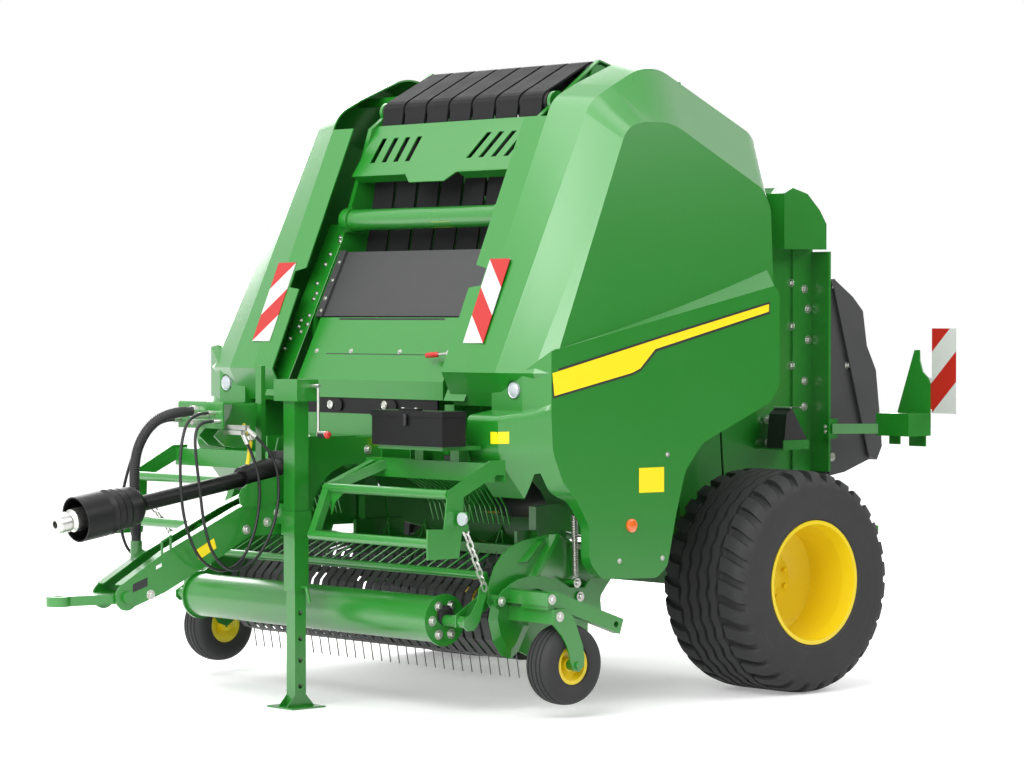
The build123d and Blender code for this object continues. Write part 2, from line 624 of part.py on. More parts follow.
# ---- hose holder on its post ----
POST_X = -96.0
POST_Y = -2193.0
HOLD_Y = -2612.0   # front face of the coupler plate
with BuildPart() as post:
    block(POST_X - 22, POST_X + 22, POST_Y - 12, POST_Y + 12, 1052, 1580)
    block(POST_X - 22, POST_X + 22, POST_Y - 40, POST_Y + 25, 1046, 1058)
    block(-DRAW_HALF - 12, -DRAW_HALF - GAP, POST_Y - 40, POST_Y + 25, 900, 1058)
    # holder: bracket on the post, and the folded plate of the couplers
    slab_x([(-2448, 1343), (-2424, 1411), (-2285, 1409), (-2200, 1395), (-2200, 1300), (-2305, 1201),
            (-2401, 1203), (-2477, 1213), (-2534, 1260)], POST_X - 28, POST_X - 22 + 1)
    slab_x([(-2448, 1343), (-2424, 1411), (-2285, 1409), (-2305, 1201), (-2401, 1203), (-2477, 1213),
            (-2534, 1260)], -6, 2)
    block(POST_X - 28, 2, -2432, -2424, 1212, 1405)
    block(POST_X - 28, 2, POST_Y - 112, POST_Y - 104, 1212, 1405)
    slab_x([(HOLD_Y, 1300), (HOLD_Y, 1412), (-2606, 1421), (-2424, 1411), (-2424, 1403), (-2604, 1412),
            (HOLD_Y + 8, 1408), (HOLD_Y + 8, 1300)], -170, 170)
save(post, "hose_post")

COUPLERS = (
    # x, y, z of the hose's end, radius
    (110, -2652, 1372, 11),
    (150, -2652, 1335, 11),
    (-110, -2652, 1368, 11),
    (-150, -2652, 1335, 11),
    (-30, -2642, 1376, 27),
    (30, -2682, 1330, 13),
    (70, -2682, 1362, 13),
)
with BuildPart() as couplers:
    for x, y, z, radius in COUPLERS:
        rod((x, y, z), (x, HOLD_Y - GAP, z), radius)
    # fittings under the holder for the hoses that come back
    rod((127.99, -2440.02, 1228.05), (123, -2466.3, 1281.7), 11)
    block(2 + GAP, 134, -2480, -2455, 1268, 1288)
    rod((149.99, -2412.04, 1262.03), (141.8, -2457.3, 1300.4), 11)
    block(2 + GAP, 152, -2470, -2445, 1290, 1312)
save(couplers, "hose_couplers")

# ---- free hoses: straight runs joined by tangent arcs ----
def route_radii(points):
    radii = []
    for k in range(1, len(points) - 1):
        before = Vector(*points[k]) - Vector(*points[k - 1])
        after = Vector(*points[k + 1]) - Vector(*points[k])
        turn = math.radians(before.get_angle(after))
        shorter = min(before.length, after.length)
        radii.append(0.45 * shorter / math.tan(turn / 2))
    return radii


def hose(points, diameter):
    placed = [(x, AXLE_Y + y, z) for x, y, z in points]
    radii = route_radii(placed)
    with BuildPart() as body:
        with BuildLine() as route:
            run = FilletPolyline(*placed, radius=radii)
        start = Plane(origin=placed[0], z_dir=Vector(*placed[1]) - Vector(*placed[0]))
        with BuildSketch(start):
            Circle(diameter / 2)
        sweep(path=run)
    length = run.length
    error = body.part.volume / (length * math.pi * diameter ** 2 / 4) - 1
    print("hose", round(length), "mm, radii", [round(r) for r in radii], "volume error", round(error, 4))
    return body



HOSE = 14.0
CONDUIT = 44.0
HOSE_ROUTES = {
    "hose_near_upper": [
        (110, -2652, 1372), (110, -2752, 1372), (146, -2830, 1240), (172, -2852, 1056), (180, -2834, 876),
        (182, -2758, 712), (176, -2626, 642), (168, -2500, 690), (160, -2418, 826), (150, -2382, 984),
        (138, -2388, 1122), (128, -2440, 1228),
    ],
    "hose_near_lower": [
        (150, -2652, 1335), (150, -2714, 1335), (163, -2762, 1291), (182, -2774, 1194), (200, -2764, 1040), (206, -2746, 872),
        (202, -2692, 724), (198, -2580, 642), (196, -2446, 688), (192, -2348, 814), (186, -2300, 968),
        (174, -2298, 1104), (162, -2346, 1206), (150, -2412, 1262),
    ],
    "hose_far_upper": [
        (-110, -2652, 1368), (-110, -2756, 1368), (-142, -2850, 1262), (-172, -2900, 1102),
        (-186, -2930, 942), (-184, -2922, 806), (-166, -2880, 716), (-150, -2815, 690),
    ],
    "hose_far_lower": [
        (-150, -2652, 1335), (-150, -2746, 1335), (-184, -2812, 1216), (-206, -2846, 1056),
        (-212, -2862, 900), (-206, -2838, 774), (-192, -2780, 704), (-180, -2710, 690),
    ],
}
for name, route in HOSE_ROUTES.items():
    save(hose(route, HOSE), name)
CONDUIT_ROUTE = [
    (-115, -2890, 790), (-115, -2890, 920), (-124, -2896, 1070), (-112, -2890, 1215), (-70, -2832, 1330),
    (-30, -2737, 1376), (-30, -2642, 1376),
]
save(hose(CONDUIT_ROUTE, CONDUIT), "conduit")

# ---- toolbox on the left, with its lid ----
BOX_X0, BOX_X1 = 566.0, 1060.0
BOX_Y0, BOX_Y1 = -2060.0, -1922.0
BOX_Z0, BOX_Z1 = 1228.0, 1360.0
BOX_WALL = 4.0
LID = 26.0
LID_PIN_R = 5.0
LID_PIN_Y = BOX_Y1 + 14
LID_PIN_Z = BOX_Z1 + LID / 2
with BuildPart() as toolbox:
    block(BOX_X0, BOX_X1, BOX_Y0, BOX_Y1, BOX_Z0, BOX_Z1)
    block(BOX_X0 + BOX_WALL, BOX_X1 - BOX_WALL, BOX_Y0 + BOX_WALL, BOX_Y1 - BOX_WALL, BOX_Z0 + BOX_WALL,
          BOX_Z1 + 1, mode=Mode.SUBTRACT)
    for x in (BOX_X0 + 60, BOX_X1 - 60):
        # hinge ears at the back
        slab_x([(BOX_Y1, BOX_Z1 - 40), (BOX_Y1, BOX_Z1), (LID_PIN_Y - 9, LID_PIN_Z), (LID_PIN_Y, LID_PIN_Z + 9),
                (LID_PIN_Y + 9, LID_PIN_Z), (LID_PIN_Y + 9, BOX_Z1 - 10)], x - 6, x + 6)
        disc_x(LID_PIN_Y, LID_PIN_Z, LID_PIN_R, x - 16, x + 16)
save(toolbox, "toolbox")

with BuildPart() as lid:
    block(BOX_X0 - 5, BOX_X1 + 5, BOX_Y0 - 5, BOX_Y1 - 1, BOX_Z1 + GAP, BOX_Z1 + LID)
    block(BOX_X0 + 2, BOX_X1 - 2, BOX_Y0 + 2, BOX_Y1 - 6, BOX_Z1, BOX_Z1 + LID - 5, mode=Mode.SUBTRACT)
    for x in (BOX_X0 + 60, BOX_X1 - 60):
        for dx in (-14, 7.5):
            block(x + dx, x + dx + 6.5, BOX_Y1 - 2, LID_PIN_Y, LID_PIN_Z - 7, LID_PIN_Z + 7)
            disc_x(LID_PIN_Y, LID_PIN_Z, 9, x + dx, x + dx + 6.5)
        disc_x(LID_PIN_Y, LID_PIN_Z, LID_PIN_R + RUN, x - 20, x + 20, mode=Mode.SUBTRACT)
    # grip on top
    middle = (BOX_X0 + BOX_X1) / 2
    block(middle - 70, middle + 70, BOX_Y0 + 10, BOX_Y0 + 34, BOX_Z1 + LID, BOX_Z1 + LID + 10)
save(lid, "toolbox_lid")

# ---- front guards over the pickup ----
TUBE_R = 22.0
GUARD_OUT = 1205.0
GUARD_TOP = (-2140, 1024)
GUARD_LOW = (-2228, 810)
CHANNEL_Y0, CHANNEL_Y1 = -1880.0, -1812.0
CHANNEL_Z0, CHANNEL_Z1 = 1070.0, 1155.0
FINGER = [(-1816, 1078), (-1690, 1064), (-1592, 1012), (-1532, 932), (-1506, 850)]
FINGER_COUNT = 16
FINGER_PITCH = 36.0
for side, name in ((1, "left"), (-1, "right")):
    with BuildPart() as guard_frame:
        for y, z in (GUARD_TOP, GUARD_LOW):
            disc_x(y, z, TUBE_R, side * 330, side * (GUARD_OUT - 6))
        # outer plate with its arm back to the channel
        slab_x([(-2268, 742), (-2268, 877), (-2171, 873), (-2150, 1040), (-1900, CHANNEL_Z1 + 14),
                (CHANNEL_Y1, CHANNEL_Z1 + 14), (CHANNEL_Y1, CHANNEL_Z0 + 30), (-1860, CHANNEL_Z0 + 34),
                (-2058, 1012), (-2062, 900), (-2086, 742)], side * (GUARD_OUT - 8), side * GUARD_OUT)
        # inner arms and struts
        for x in (350, 430):
            bar((side * 350, *GUARD_TOP), (side * x, CHANNEL_Y0 + 10, 1128), 44, 40)
        bar((side * 350, *GUARD_TOP), (side * 350, *GUARD_LOW), 44, 36)
        slab_y([(side * 372, 1010), (side * 372, 900), (side * 400, 960), (side * 470, 1010)],
               GUARD_TOP[0] - 3, GUARD_TOP[0] + 3)
        # rear channel, folded, with brackets back to the beam
        block(side * 300, side * (GUARD_OUT - 1), CHANNEL_Y0, CHANNEL_Y0 + 6, CHANNEL_Z0, CHANNEL_Z1)
        block(side * 300, side * (GUARD_OUT - 1), CHANNEL_Y0, CHANNEL_Y1, CHANNEL_Z1 - 6, CHANNEL_Z1)
        block(side * 300, side * (GUARD_OUT - 1), CHANNEL_Y1 - 6, CHANNEL_Y1, CHANNEL_Z0, CHANNEL_Z1)
        for x in (330, 540):
            block(side * x, side * (x + 8), CHANNEL_Y1 - 1, -1612 - GAP, CHANNEL_Z1 - 60, 1230)
            block(side * x, side * (x + 50), -1620, -1612 - GAP, 1170, 1230)
        # fingers that curve down behind the tubes
        for k in range(FINGER_COUNT):
            x = side * (348 + k * FINGER_PITCH)
            band(FINGER, 6, x - 3, x + 3)
        # bracket of the reflector and the chain
        block(side * (GUARD_OUT - 8), side * (GUARD_OUT + 62), -2096, -2090, 886, 950)
        block(side * (GUARD_OUT - 1), side * (GUARD_OUT + 6), -2096, -2066, 886, 950)
        block(side * (GUARD_OUT - 8), side * (GUARD_OUT - 1), -2078, -2028, 858, 888)
        rod((side * 1200, -2038.4, 868.9), (side * 1174, -2038.4, 875.7), 3)
        # toolbox shelf on the left only
        if side > 0:
            block(BOX_X0 + 20, BOX_X1 - 20, BOX_Y0 + 20, CHANNEL_Y1 - 2, BOX_Z0 - GAP - 18, BOX_Z0 - GAP)
            for x in (650, 900):
                block(x, x + 60, CHANNEL_Y0 + 5, CHANNEL_Y1 - 5, CHANNEL_Z1 - 1, BOX_Z0 - GAP - 17)
    save(guard_frame, f"front_guard_{name}")

with BuildPart() as reflectors:
    for side in (1, -1):
        rod((side * (GUARD_OUT + 40), -2096 - GAP, 918), (side * (GUARD_OUT + 40), -2108, 918), 29)
save(reflectors, "front_reflectors")

# ---- chains that hang from the guards to the windguard ----
LINK_LONG = 54.0
LINK_WIDE = 32.0
LINK_WIRE = 7.0
LINK_COUNT = 9
LINK_PITCH = LINK_LONG - 2 * LINK_WIRE - GAP
with BuildPart() as chains:
    for side in (1, -1):
        hook = Vector(side * 1190, AXLE_Y - 2046, 884)
        away = (Vector(side * 1116, AXLE_Y - 1862, 600) - hook).normalized()
        for k in range(LINK_COUNT):
            centre = hook + away * (LINK_LONG / 2 + 4 + k * LINK_PITCH)
            across = away.cross(Vector(1, 0, 0) if k % 2 else Vector(0, 1, 0)).normalized()
            with BuildSketch(Plane(origin=centre, x_dir=away, z_dir=across)) as ring:
                with BuildLine():
                    half, wide = LINK_LONG / 2, LINK_WIDE / 2
                    Polyline((half, 6), (half, -6), (half - 12, -wide), (12 - half, -wide), (-half, -6), (-half, 6),
                             (12 - half, wide), (half - 12, wide), close=True)
                make_face()
                with BuildLine():
                    half, wide = LINK_LONG / 2 - LINK_WIRE, LINK_WIDE / 2 - LINK_WIRE
                    Polyline((half, 4), (half, -4), (half - 8, -wide), (8 - half, -wide), (-half, -4), (-half, 4),
                             (8 - half, wide), (half - 8, wide), close=True)
                make_face(mode=Mode.SUBTRACT)
            extrude(ring.sketch, amount=LINK_WIRE / 2 - 0.4, both=True)
save(chains, "lift_chains")

# ---- side doors: one moulded shell each, hinged at the top ----
# Corners of the profiles run clockwise as (y, z, radius), at four places across the door.
SKIRT_X = 1280.0
FACE_IN_X = 640.0
DOOR_SECTIONS = (
    # x, corners
    (800, [(-1625, 1400, 0), (-1707, 1555, 0), (-1158, 2832, 170), (-1010, 2908, 300), (-690, 3046, 260),
           (30, 2765, 120), (105, 2500, 200), (70, 1950, 100), (-100, 1450, 0)]),
    (1000, [(-1618, 1400, 0), (-1695, 1555, 0), (-1104, 2812, 190), (-965, 2890, 300), (-720, 3014, 280),
            (-15, 2688, 130), (40, 2440, 200), (15, 1950, 100), (-110, 1450, 0)]),
    (1200, [(-1570, 1400, 0), (-1642, 1555, 0), (-1055, 2690, 140), (-930, 2712, 260), (-760, 2706, 380),
            (-150, 2418, 90), (-104, 2330, 120), (-108, 1940, 100), (-150, 1450, 0)]),
    (1292, [(-1520, 1400, 0), (-1594, 1555, 0), (-1010, 2690, 140), (-890, 2712, 240), (-740, 2706, 380),
            (-160, 2412, 90), (-116, 2330, 120), (-118, 1940, 100), (-160, 1450, 0)]),
)
# three points of the side panel's plane, which leans in towards the top and the rear
PANEL_POINTS = ((1280, -1600, 1571), (1200, -980, 2660), (1200, -121, 2395))
SKIRT_INNER = [
    (-1652, 1385, 0), (-1652, 1560, 0), (-150, 1962, 0), (-112, 1930, 40), (-112, 1470, 60), (-175, 1390, 60),
    (-640, 1205, 90), (-742, 1090, 90), (-800, 893, 200), (-862, 640, 70), (-930, 589, 60), (-1299, 602, 70),
    (-1378, 685, 90), (-1372, 853, 100), (-1465, 956, 90), (-1620, 962, 90), (-1796, 1170, 160), (-1800, 1362, 30),
]
SKIRT_OUTER = [
    (-1602, 1385, 0), (-1602, 1656, 0), (-160, 1957, 0), (-122, 1925, 40), (-122, 1480, 60), (-185, 1400, 60),
    (-640, 1218, 90), (-755, 1090, 90), (-815, 893, 200), (-872, 650, 70), (-940, 600, 60), (-1290, 612, 70),
    (-1366, 690, 90), (-1368, 853, 100), (-1452, 985, 90), (-1530, 1060, 90), (-1592, 1200, 160), (-1602, 1362, 30),
]
SKIRT_TURN_X = 1140.0
ROOF_IN_X = 800.0     # the roof's inner rim
NOTCH_X = 720.0
LAMP_X = 1084.0
LAMP_Z = 1477.0


def face_y(z):
    return -1482 + (z - 2079) * 0.43


def rounded(plane, corners):
    # closed outline with an arc at each corner that has a radius
    runs = []
    count = len(corners)
    for k in range(count):
        here = corners[k]
        back = unit(here, corners[k - 1])
        ahead = unit(here, corners[(k + 1) % count])
        if here[2] == 0:
            runs.append(((here[0], here[1]), None, (here[0], here[1])))
            continue
        half = math.acos(max(-1, min(1, back[0] * ahead[0] + back[1] * ahead[1]))) / 2
        reach = here[2] / math.tan(half)
        middle = (back[0] + ahead[0], back[1] + ahead[1])
        size = math.hypot(*middle)
        bulge = here[2] / math.sin(half) - here[2]
        runs.append(((here[0] + back[0] * reach, here[1] + back[1] * reach),
                     (here[0] + middle[0] / size * bulge, here[1] + middle[1] / size * bulge),
                     (here[0] + ahead[0] * reach, here[1] + ahead[1] * reach)))
    with BuildSketch(plane) as profile:
        with BuildLine():
            for k in range(count):
                Line(runs[k - 1][2], runs[k][0])
                if runs[k][1]:
                    ThreePointArc(*runs[k])
        make_face()
    return profile.sketch


def inset_corners(corners, distance):
    # the radii of outer corners shrink with the profile, those of inner corners grow
    moved = inset([corner[:2] for corner in corners], distance)
    result = []
    for k in range(len(corners)):
        y, z, radius = corners[k]
        first = unit(corners[k - 1], corners[k])
        second = unit(corners[k], corners[(k + 1) % len(corners)])
        outward = first[0] * second[1] - first[1] * second[0] < 0
        if radius > 0:
            radius = radius - distance if outward else radius + distance
        result.append((moved[k][0], moved[k][1], radius))
    return result


def door_form(distance, side):
    # the door's outer form moved inward by distance
    with BuildPart() as form:
        faces = []
        for x, corners in DOOR_SECTIONS:
            faces.append(rounded(side_plane(side * (x - distance)), inset_corners(corners, distance)).face())
        loft(faces, ruled=True)
        low, high = sorted((side * (FACE_IN_X - distance), side * (DOOR_SECTIONS[0][0] - distance)))
        extrude(rounded(side_plane(low), inset_corners(DOOR_SECTIONS[0][1], distance)), amount=high - low,
                dir=(1, 0, 0))
        # flat side panel
        a, b, c = [Vector(side * x, AXLE_Y + y, z) for x, y, z in PANEL_POINTS]
        normal = (b - a).cross(c - a).normalized()
        if normal.X * side < 0:
            normal = -normal
        panel = Plane(origin=a - normal * distance, z_dir=normal)
        with BuildSketch(panel) as cutter:
            Rectangle(6000, 6000)
        extrude(cutter.sketch, amount=400, dir=normal, mode=Mode.SUBTRACT)
        block(side * (SKIRT_X - distance), side * 1500, -2000, 500, 1300, 3200, mode=Mode.SUBTRACT)
        # skirt with the ledge above it
        inner = rounded(side_plane(side * SKIRT_TURN_X), inset_corners(SKIRT_INNER, distance))
        outer = rounded(side_plane(side * (SKIRT_X - distance)), inset_corners(SKIRT_OUTER, distance))
        loft([inner.face(), outer.face()], ruled=True)
        low, high = sorted((side * (930 + distance), side * SKIRT_TURN_X))
        extrude(rounded(side_plane(low), inset_corners(SKIRT_INNER, distance)), amount=high - low, dir=(1, 0, 0))
        loft_x(inset([(-1560, 1450), (-1560, 1664), (-160, 1957), (-160, 1700)], distance), side * (SKIRT_X - distance),
               inset([(-1560, 1450), (-1560, 1664), (-150, 2045), (-150, 1700)], distance), side * (1215 - distance))
    return form.part


def door(side):
    with BuildPart() as shell:
        add(door_form(0, side))
        add(door_form(SKIN, side), mode=Mode.SUBTRACT)
        # open behind the front face and under the roof, inboard of the rim
        slab_x([(face_y(2720) + 12, 2720), (face_y(1560) + 12, 1560), (-1600, 1430), (300, 1300),
                (300, 3200), (face_y(3200) + 12, 3200)],
               side * 600, side * ROOF_IN_X, mode=Mode.SUBTRACT)
        block(side * 600, side * ROOF_IN_X, -1300, -1000, 2750, 3100, mode=Mode.SUBTRACT)
        # notch in the face's inner edge
        slab_y([(side * 600, 1940), (side * NOTCH_X, 1955), (side * NOTCH_X, 2035), (side * 600, 2060)],
               -1800, -1300, mode=Mode.SUBTRACT)
        # the skirt's lower edges are a narrow flange
        slab_x([(-1640, 500), (-1640, 1100), (-700, 1300), (-80, 1500), (-80, 500)],
               side * 900, side * (SKIRT_X - 55), mode=Mode.SUBTRACT)
        # recess of the marker lamp
        rod((side * LAMP_X, -1700, LAMP_Z), (side * LAMP_X, -1645, LAMP_Z), 46, mode=Mode.SUBTRACT)
        rod((side * LAMP_X, -1646, LAMP_Z), (side * LAMP_X, -1632, LAMP_Z), 50)
        # hinge arms from the roof to the pins
        for y, reach in DOOR_ARMS:
            slab_x([(y + 8, DOOR_HINGE_Z - 22), (y + 8, DOOR_HINGE_Z + 22), (y + 46, DOOR_HINGE_Z + 22),
                    (y + 46, DOOR_HINGE_Z - 22)], side * (DOOR_HINGE_X - 2), side * reach)
            rod((side * DOOR_HINGE_X, y + 8, DOOR_HINGE_Z), (side * DOOR_HINGE_X, y + 46, DOOR_HINGE_Z), 22)
            rod((side * DOOR_HINGE_X, y, DOOR_HINGE_Z), (side * DOOR_HINGE_X, y + 60, DOOR_HINGE_Z),
                DOOR_PIN_R + RUN, mode=Mode.SUBTRACT)
    return shell


door_left = door(1)
save(door_left, "side_door_left")
door_right = door(-1)
save(door_right, "side_door_right")
print("door", round(door_left.part.volume), round(door_right.part.volume), len(door_left.part.solids()))

# ---- warning boards and reflectors on the doors ----
for side, name in ((1, "left"), (-1, "right")):
    with BuildPart() as trim:
        lean = Vector(0, 0.395, 0.9187)
        out = Vector(0, -0.9187, 0.395)
        low = (side * 800, face_y(1688), 1688)
        corner = Plane(origin=(low[0], AXLE_Y + low[1] - 0.33, low[2]), x_dir=(1, 0, 0),
                       z_dir=(1, 0, 0) if side == 0 else (0, -0.9187, 0.395))
        with BuildSketch(corner) as face:
            with Locations((0, 212)):
                Rectangle(140, 424)
        extrude(face.sketch, amount=3, dir=(0, -0.9187, 0.395))
    save(trim, f"door_board_{name}")

# ---- feed rotor with its end augers ----
with BuildPart() as rotor:
    disc_x(LIFT_Y, LIFT_Z, 70, -ROTOR_HALF, ROTOR_HALF)
    disc_x(LIFT_Y, LIFT_Z, ROTOR_STUB_R, -WALL_OUT, WALL_OUT)
    for k in range(12):
        x = -ROTOR_HALF + 40 + k * (2 * ROTOR_HALF - 80) / 11
        turn = math.radians(30 * k)
        points = []
        for step, radius in ((0, ROTOR_R), (25, 90), (60, 90), (90, ROTOR_R), (115, 90), (150, 90),
                             (180, ROTOR_R), (205, 90), (240, 90), (270, ROTOR_R), (295, 90), (330, 90)):
            angle = turn + math.radians(step)
            points.append((LIFT_Y + radius * math.cos(angle), LIFT_Z + radius * math.sin(angle)))
        slab_x(points, x - 5, x + 5)
save(rotor, "feed_rotor")

# ---- pickup: side plates, cross tubes, arms of the gauge wheels ----
SIDE_X = PICKUP_HALF + 20      # outer face of the side plate
BANANA_X = PICKUP_HALF + 62    # inner face of the curved plate outside it
BEAM_Y1 = LIFT_Y - ROTOR_R - 8  # the top beam passes the feed rotor's tips
SIDE_PLATE = [
    (-1800, 520), (-1785, 610), (-1755, 680), (-1711, 732), (-1655, 768), (-1589, 791), (-1493, 803),
    (-1375, 822), (-1300, 785), (-1240, 735), (-1060, 715), (-985, 640), (-1060, 560), (-1180, 420),
    (-1185, 250), (LOW_TUBE_Y, LOW_TUBE_Z - LOW_TUBE_R), (-1400, 240), (-1560, 265), (-1700, 330), (-1735, 440),
]
SHIELD_LOW = [(-1796, 440), (-1780, 515), (-1690, 556), (-1590, 520), (-1545, 400), (-1610, 290), (-1661, 256),
              (-1718, 276), (-1770, 345)]
BANANA = [
    (-1799, 507), (-1799, 535), (-1755, 571), (-1704, 601), (-1647, 622), (-1589, 632), (-1512, 628),
    (-1420, 610), (-1342, 567), (-1250, 562), (-1217, 599), (-1137, 576), (-1150, 500), (-1143, 439),
    (-1180, 420), (-1300, 455), (-1369, 491), (-1408, 518), (-1473, 550), (-1538, 573), (-1615, 573),
    (-1679, 557),
]
GAUGE_ARM = [
    (-1690, 502), (-1588, 482), (-1559, 440), (-1533, 377), (-1514, 333), (-1504, 279), (-1508, 240),
    (-1535, 214), (-1572, 222), (-1588, 260), (-1596, 299), (-1612, 339), (-1640, 383), (-1693, 434),
]
GAUGE_ARM_X = GAUGE_X + 85
with BuildPart() as pickup:
    for side in (1, -1):
        # side plate between the reel and the lift pivot, with pressed ribs and a domed cover
        slab_x(SIDE_PLATE, side * (PICKUP_HALF + 12), side * SIDE_X)
        loft_x([(-1556, 624), (-1425, 812), (-1375, 820), (-1292, 772), (-1300, 600)], side * (SIDE_X - 1),
               [(-1545, 624), (-1415, 814), (-1400, 819), (-1396, 800), (-1528, 612)], side * (SIDE_X + 40))
        loft_x([(-1620, 690), (-1500, 786), (-1450, 797), (-1545, 690)], side * (SIDE_X - 1),
               [(-1592, 696), (-1492, 782), (-1484, 784), (-1578, 696)], side * (SIDE_X + 22))
        loft_x(SHIELD_LOW, side * (SIDE_X - 1), inset(SHIELD_LOW, 44), side * (SIDE_X + 13))
        # reel bearing
        disc_x(REEL_Y, REEL_Z, 45, side * (PICKUP_HALF - 14), side * (PICKUP_HALF + 13))
        disc_x(REEL_Y, REEL_Z, REEL_STUB_R + RUN, side * (PICKUP_HALF - 16), side * (PICKUP_HALF + 8),
               mode=Mode.SUBTRACT)
        # curved plate outside the side plate, on spacers
        slab_x(BANANA, side * BANANA_X, side * (BANANA_X + 10))
        for y, z in ((-1768, 540), (-1286, 523), (-1306, 587)):
            disc_x(y, z, 15, side * (SIDE_X - 1), side * (BANANA_X + 18))
        # stacked square tubes out to the gauge wheel's arm
        block(side * (SIDE_X - 1), side * (GAUGE_X + 80), -1716, -1650, 519, 577)
        block(side * (SIDE_X - 1), side * GAUGE_ARM_X, -1684, -1606, 437, 503)
        block(side * 1190, side * (GAUGE_X + 70), -1704, -1664, 500, 522)
        bar((side * (GAUGE_X + 45), -1668, 548), (side * (GAUGE_X + 45), -1250, 400), 50, 70)
        disc_x(-1285, 412, 14, side * (GAUGE_X + 10), side * (GAUGE_X + 80), mode=Mode.SUBTRACT)
        slab_x(GAUGE_ARM, side * GAUGE_ARM_X, side * (GAUGE_ARM_X + 9))
        disc_x(GAUGE_Y, GAUGE_Z, 24, side * (GAUGE_X + 40 + GAP), side * (GAUGE_ARM_X + 1))
        disc_x(GAUGE_Y, GAUGE_Z, GAUGE_PIN_R, side * (GAUGE_X - 60), side * (GAUGE_ARM_X + 1))
        disc_x(GAUGE_Y, GAUGE_Z, 17, side * GAUGE_ARM_X, side * (GAUGE_ARM_X + 20))
    # cross tube behind the reel at the bottom, and the beam at the top
    disc_x(LOW_TUBE_Y, LOW_TUBE_Z, LOW_TUBE_R, -(PICKUP_HALF + 13), PICKUP_HALF + 13)
    block(-(PICKUP_HALF + 13), PICKUP_HALF + 13, BEAM_Y1 - 60, BEAM_Y1, 690, 735)
    for side in (1, -1):
        # inner arms back to the pivot pins on the frame
        slab_x([(BEAM_Y1 - 20, 735), (BEAM_Y1, 735), (-1060, 690), (-1010, 640), (-1060, 590), (-1100, 600),
                (BEAM_Y1 - 20, 690)], side * (WALL_OUT + 55), side * (WALL_OUT + 70))
        disc_x(LIFT_Y, LIFT_Z, LIFT_PIN_R + RUN, side * (WALL_OUT + 50), side * (WALL_OUT + 90),
               mode=Mode.SUBTRACT)
        # pins of the windguard's arms
        disc_x(GUARD_PIVOT_Y, GUARD_PIVOT_Z, GUARD_PIN_R, side * (ARM_X - 2), side * (PICKUP_HALF + 13))
save(pickup, "pickup_frame")

# ---- relief springs between the curved plates and the frame ----
COIL_COUNT = 26
SPRING_LOW = (-1280.0, 612.0)
SPRING_HIGH = (-1287.0, 899.0)
SPRING_X = BANANA_X - 21
with BuildPart() as springs:
    for side in (1, -1):
        low = (side * SPRING_X, *SPRING_LOW)
        high = (side * SPRING_X, *SPRING_HIGH)
        coil = span(low, high) / COIL_COUNT
        profile = [(0, 0)]
        for k in range(COIL_COUNT):
            profile += [(k * coil, 12), (k * coil + coil / 2, 17)]
        profile += [(COIL_COUNT * coil, 12), (COIL_COUNT * coil, 0)]
        plane = Plane(origin=(low[0], AXLE_Y + low[1], low[2]), x_dir=Vector(*high) - Vector(*low),
                      z_dir=(1, 0, 0))
        revolve(outline(plane, profile), axis=Axis(plane.origin, plane.x_dir))
        rod((side * SPRING_X, -1306, 607.3), low, 5)
save(springs, "relief_springs")

TINE_PITCH = 66.0
TINE_COUNT = 2 * int((PICKUP_HALF - 60) / TINE_PITCH) + 1
TINE_STEP0 = -(TINE_COUNT - 1) / 2 * TINE_PITCH
BAND_HALF = 24.0
BAND_SHEET = 3.0


def band_profile():
    points = []
    for degrees in range(60, 271, 30):
        turn = math.radians(degrees)
        points.append((REEL_Y + BAND_R * math.cos(turn), REEL_Z + BAND_R * math.sin(turn)))
    return [(BEAM_Y1 - 22, 689.7), (-1400, 655)] + points + [(LOW_TUBE_Y, LOW_TUBE_Z - LOW_TUBE_R - GAP - BAND_SHEET)]


with BuildPart() as bands:
    path = band_profile()
    loop = path + shifted(path, BAND_SHEET)[::-1]
    with BuildPart(mode=Mode.PRIVATE) as one:
        slab_x(loop, -BAND_HALF, BAND_HALF)
    with Locations(*[(TINE_STEP0 + (k + 0.5) * TINE_PITCH, 0, 0) for k in range(TINE_COUNT - 1)]):
        add(one.part)
save(bands, "pickup_bands")

# ---- pickup reel: shaft, tine bars and spring tines ----
TINE_BAR_R = 130.0
TINE_LEAN = 30.0   # the tines trail, so that they leave the crop
TINE_LONG = (math.sqrt(TINE_R ** 2 - (TINE_BAR_R * math.sin(math.radians(TINE_LEAN))) ** 2)
             - TINE_BAR_R * math.cos(math.radians(TINE_LEAN)))
with BuildPart() as reel:
    disc_x(REEL_Y, REEL_Z, 30, -(PICKUP_HALF - 30), PICKUP_HALF - 30)
    disc_x(REEL_Y, REEL_Z, REEL_STUB_R, -(PICKUP_HALF + 4), PICKUP_HALF + 4)
    for x in (-(PICKUP_HALF - 56), -330, 330, PICKUP_HALF - 56):
        disc_x(REEL_Y, REEL_Z, 125, x - 4, x + 4)
    for k in range(4):
        turn = math.radians(70 + 90 * k)
        bar_y, bar_z = REEL_Y + TINE_BAR_R * math.cos(turn), REEL_Z + TINE_BAR_R * math.sin(turn)
        disc_x(bar_y, bar_z, 16, -(PICKUP_HALF - 50), PICKUP_HALF - 50)
        lean = turn + math.radians(TINE_LEAN)
        along = (0, math.cos(lean), math.sin(lean))
        plane = Plane(origin=(0, AXLE_Y + bar_y, bar_z), x_dir=(1, 0, 0), z_dir=along)
        with BuildSketch(plane) as tines:
            with Locations(*[(TINE_STEP0 + j * TINE_PITCH, 0) for j in range(TINE_COUNT)]):
                RegularPolygon(3.6, 4)
        extrude(tines.sketch, amount=TINE_LONG, dir=along)
save(reel, "pickup_reel")

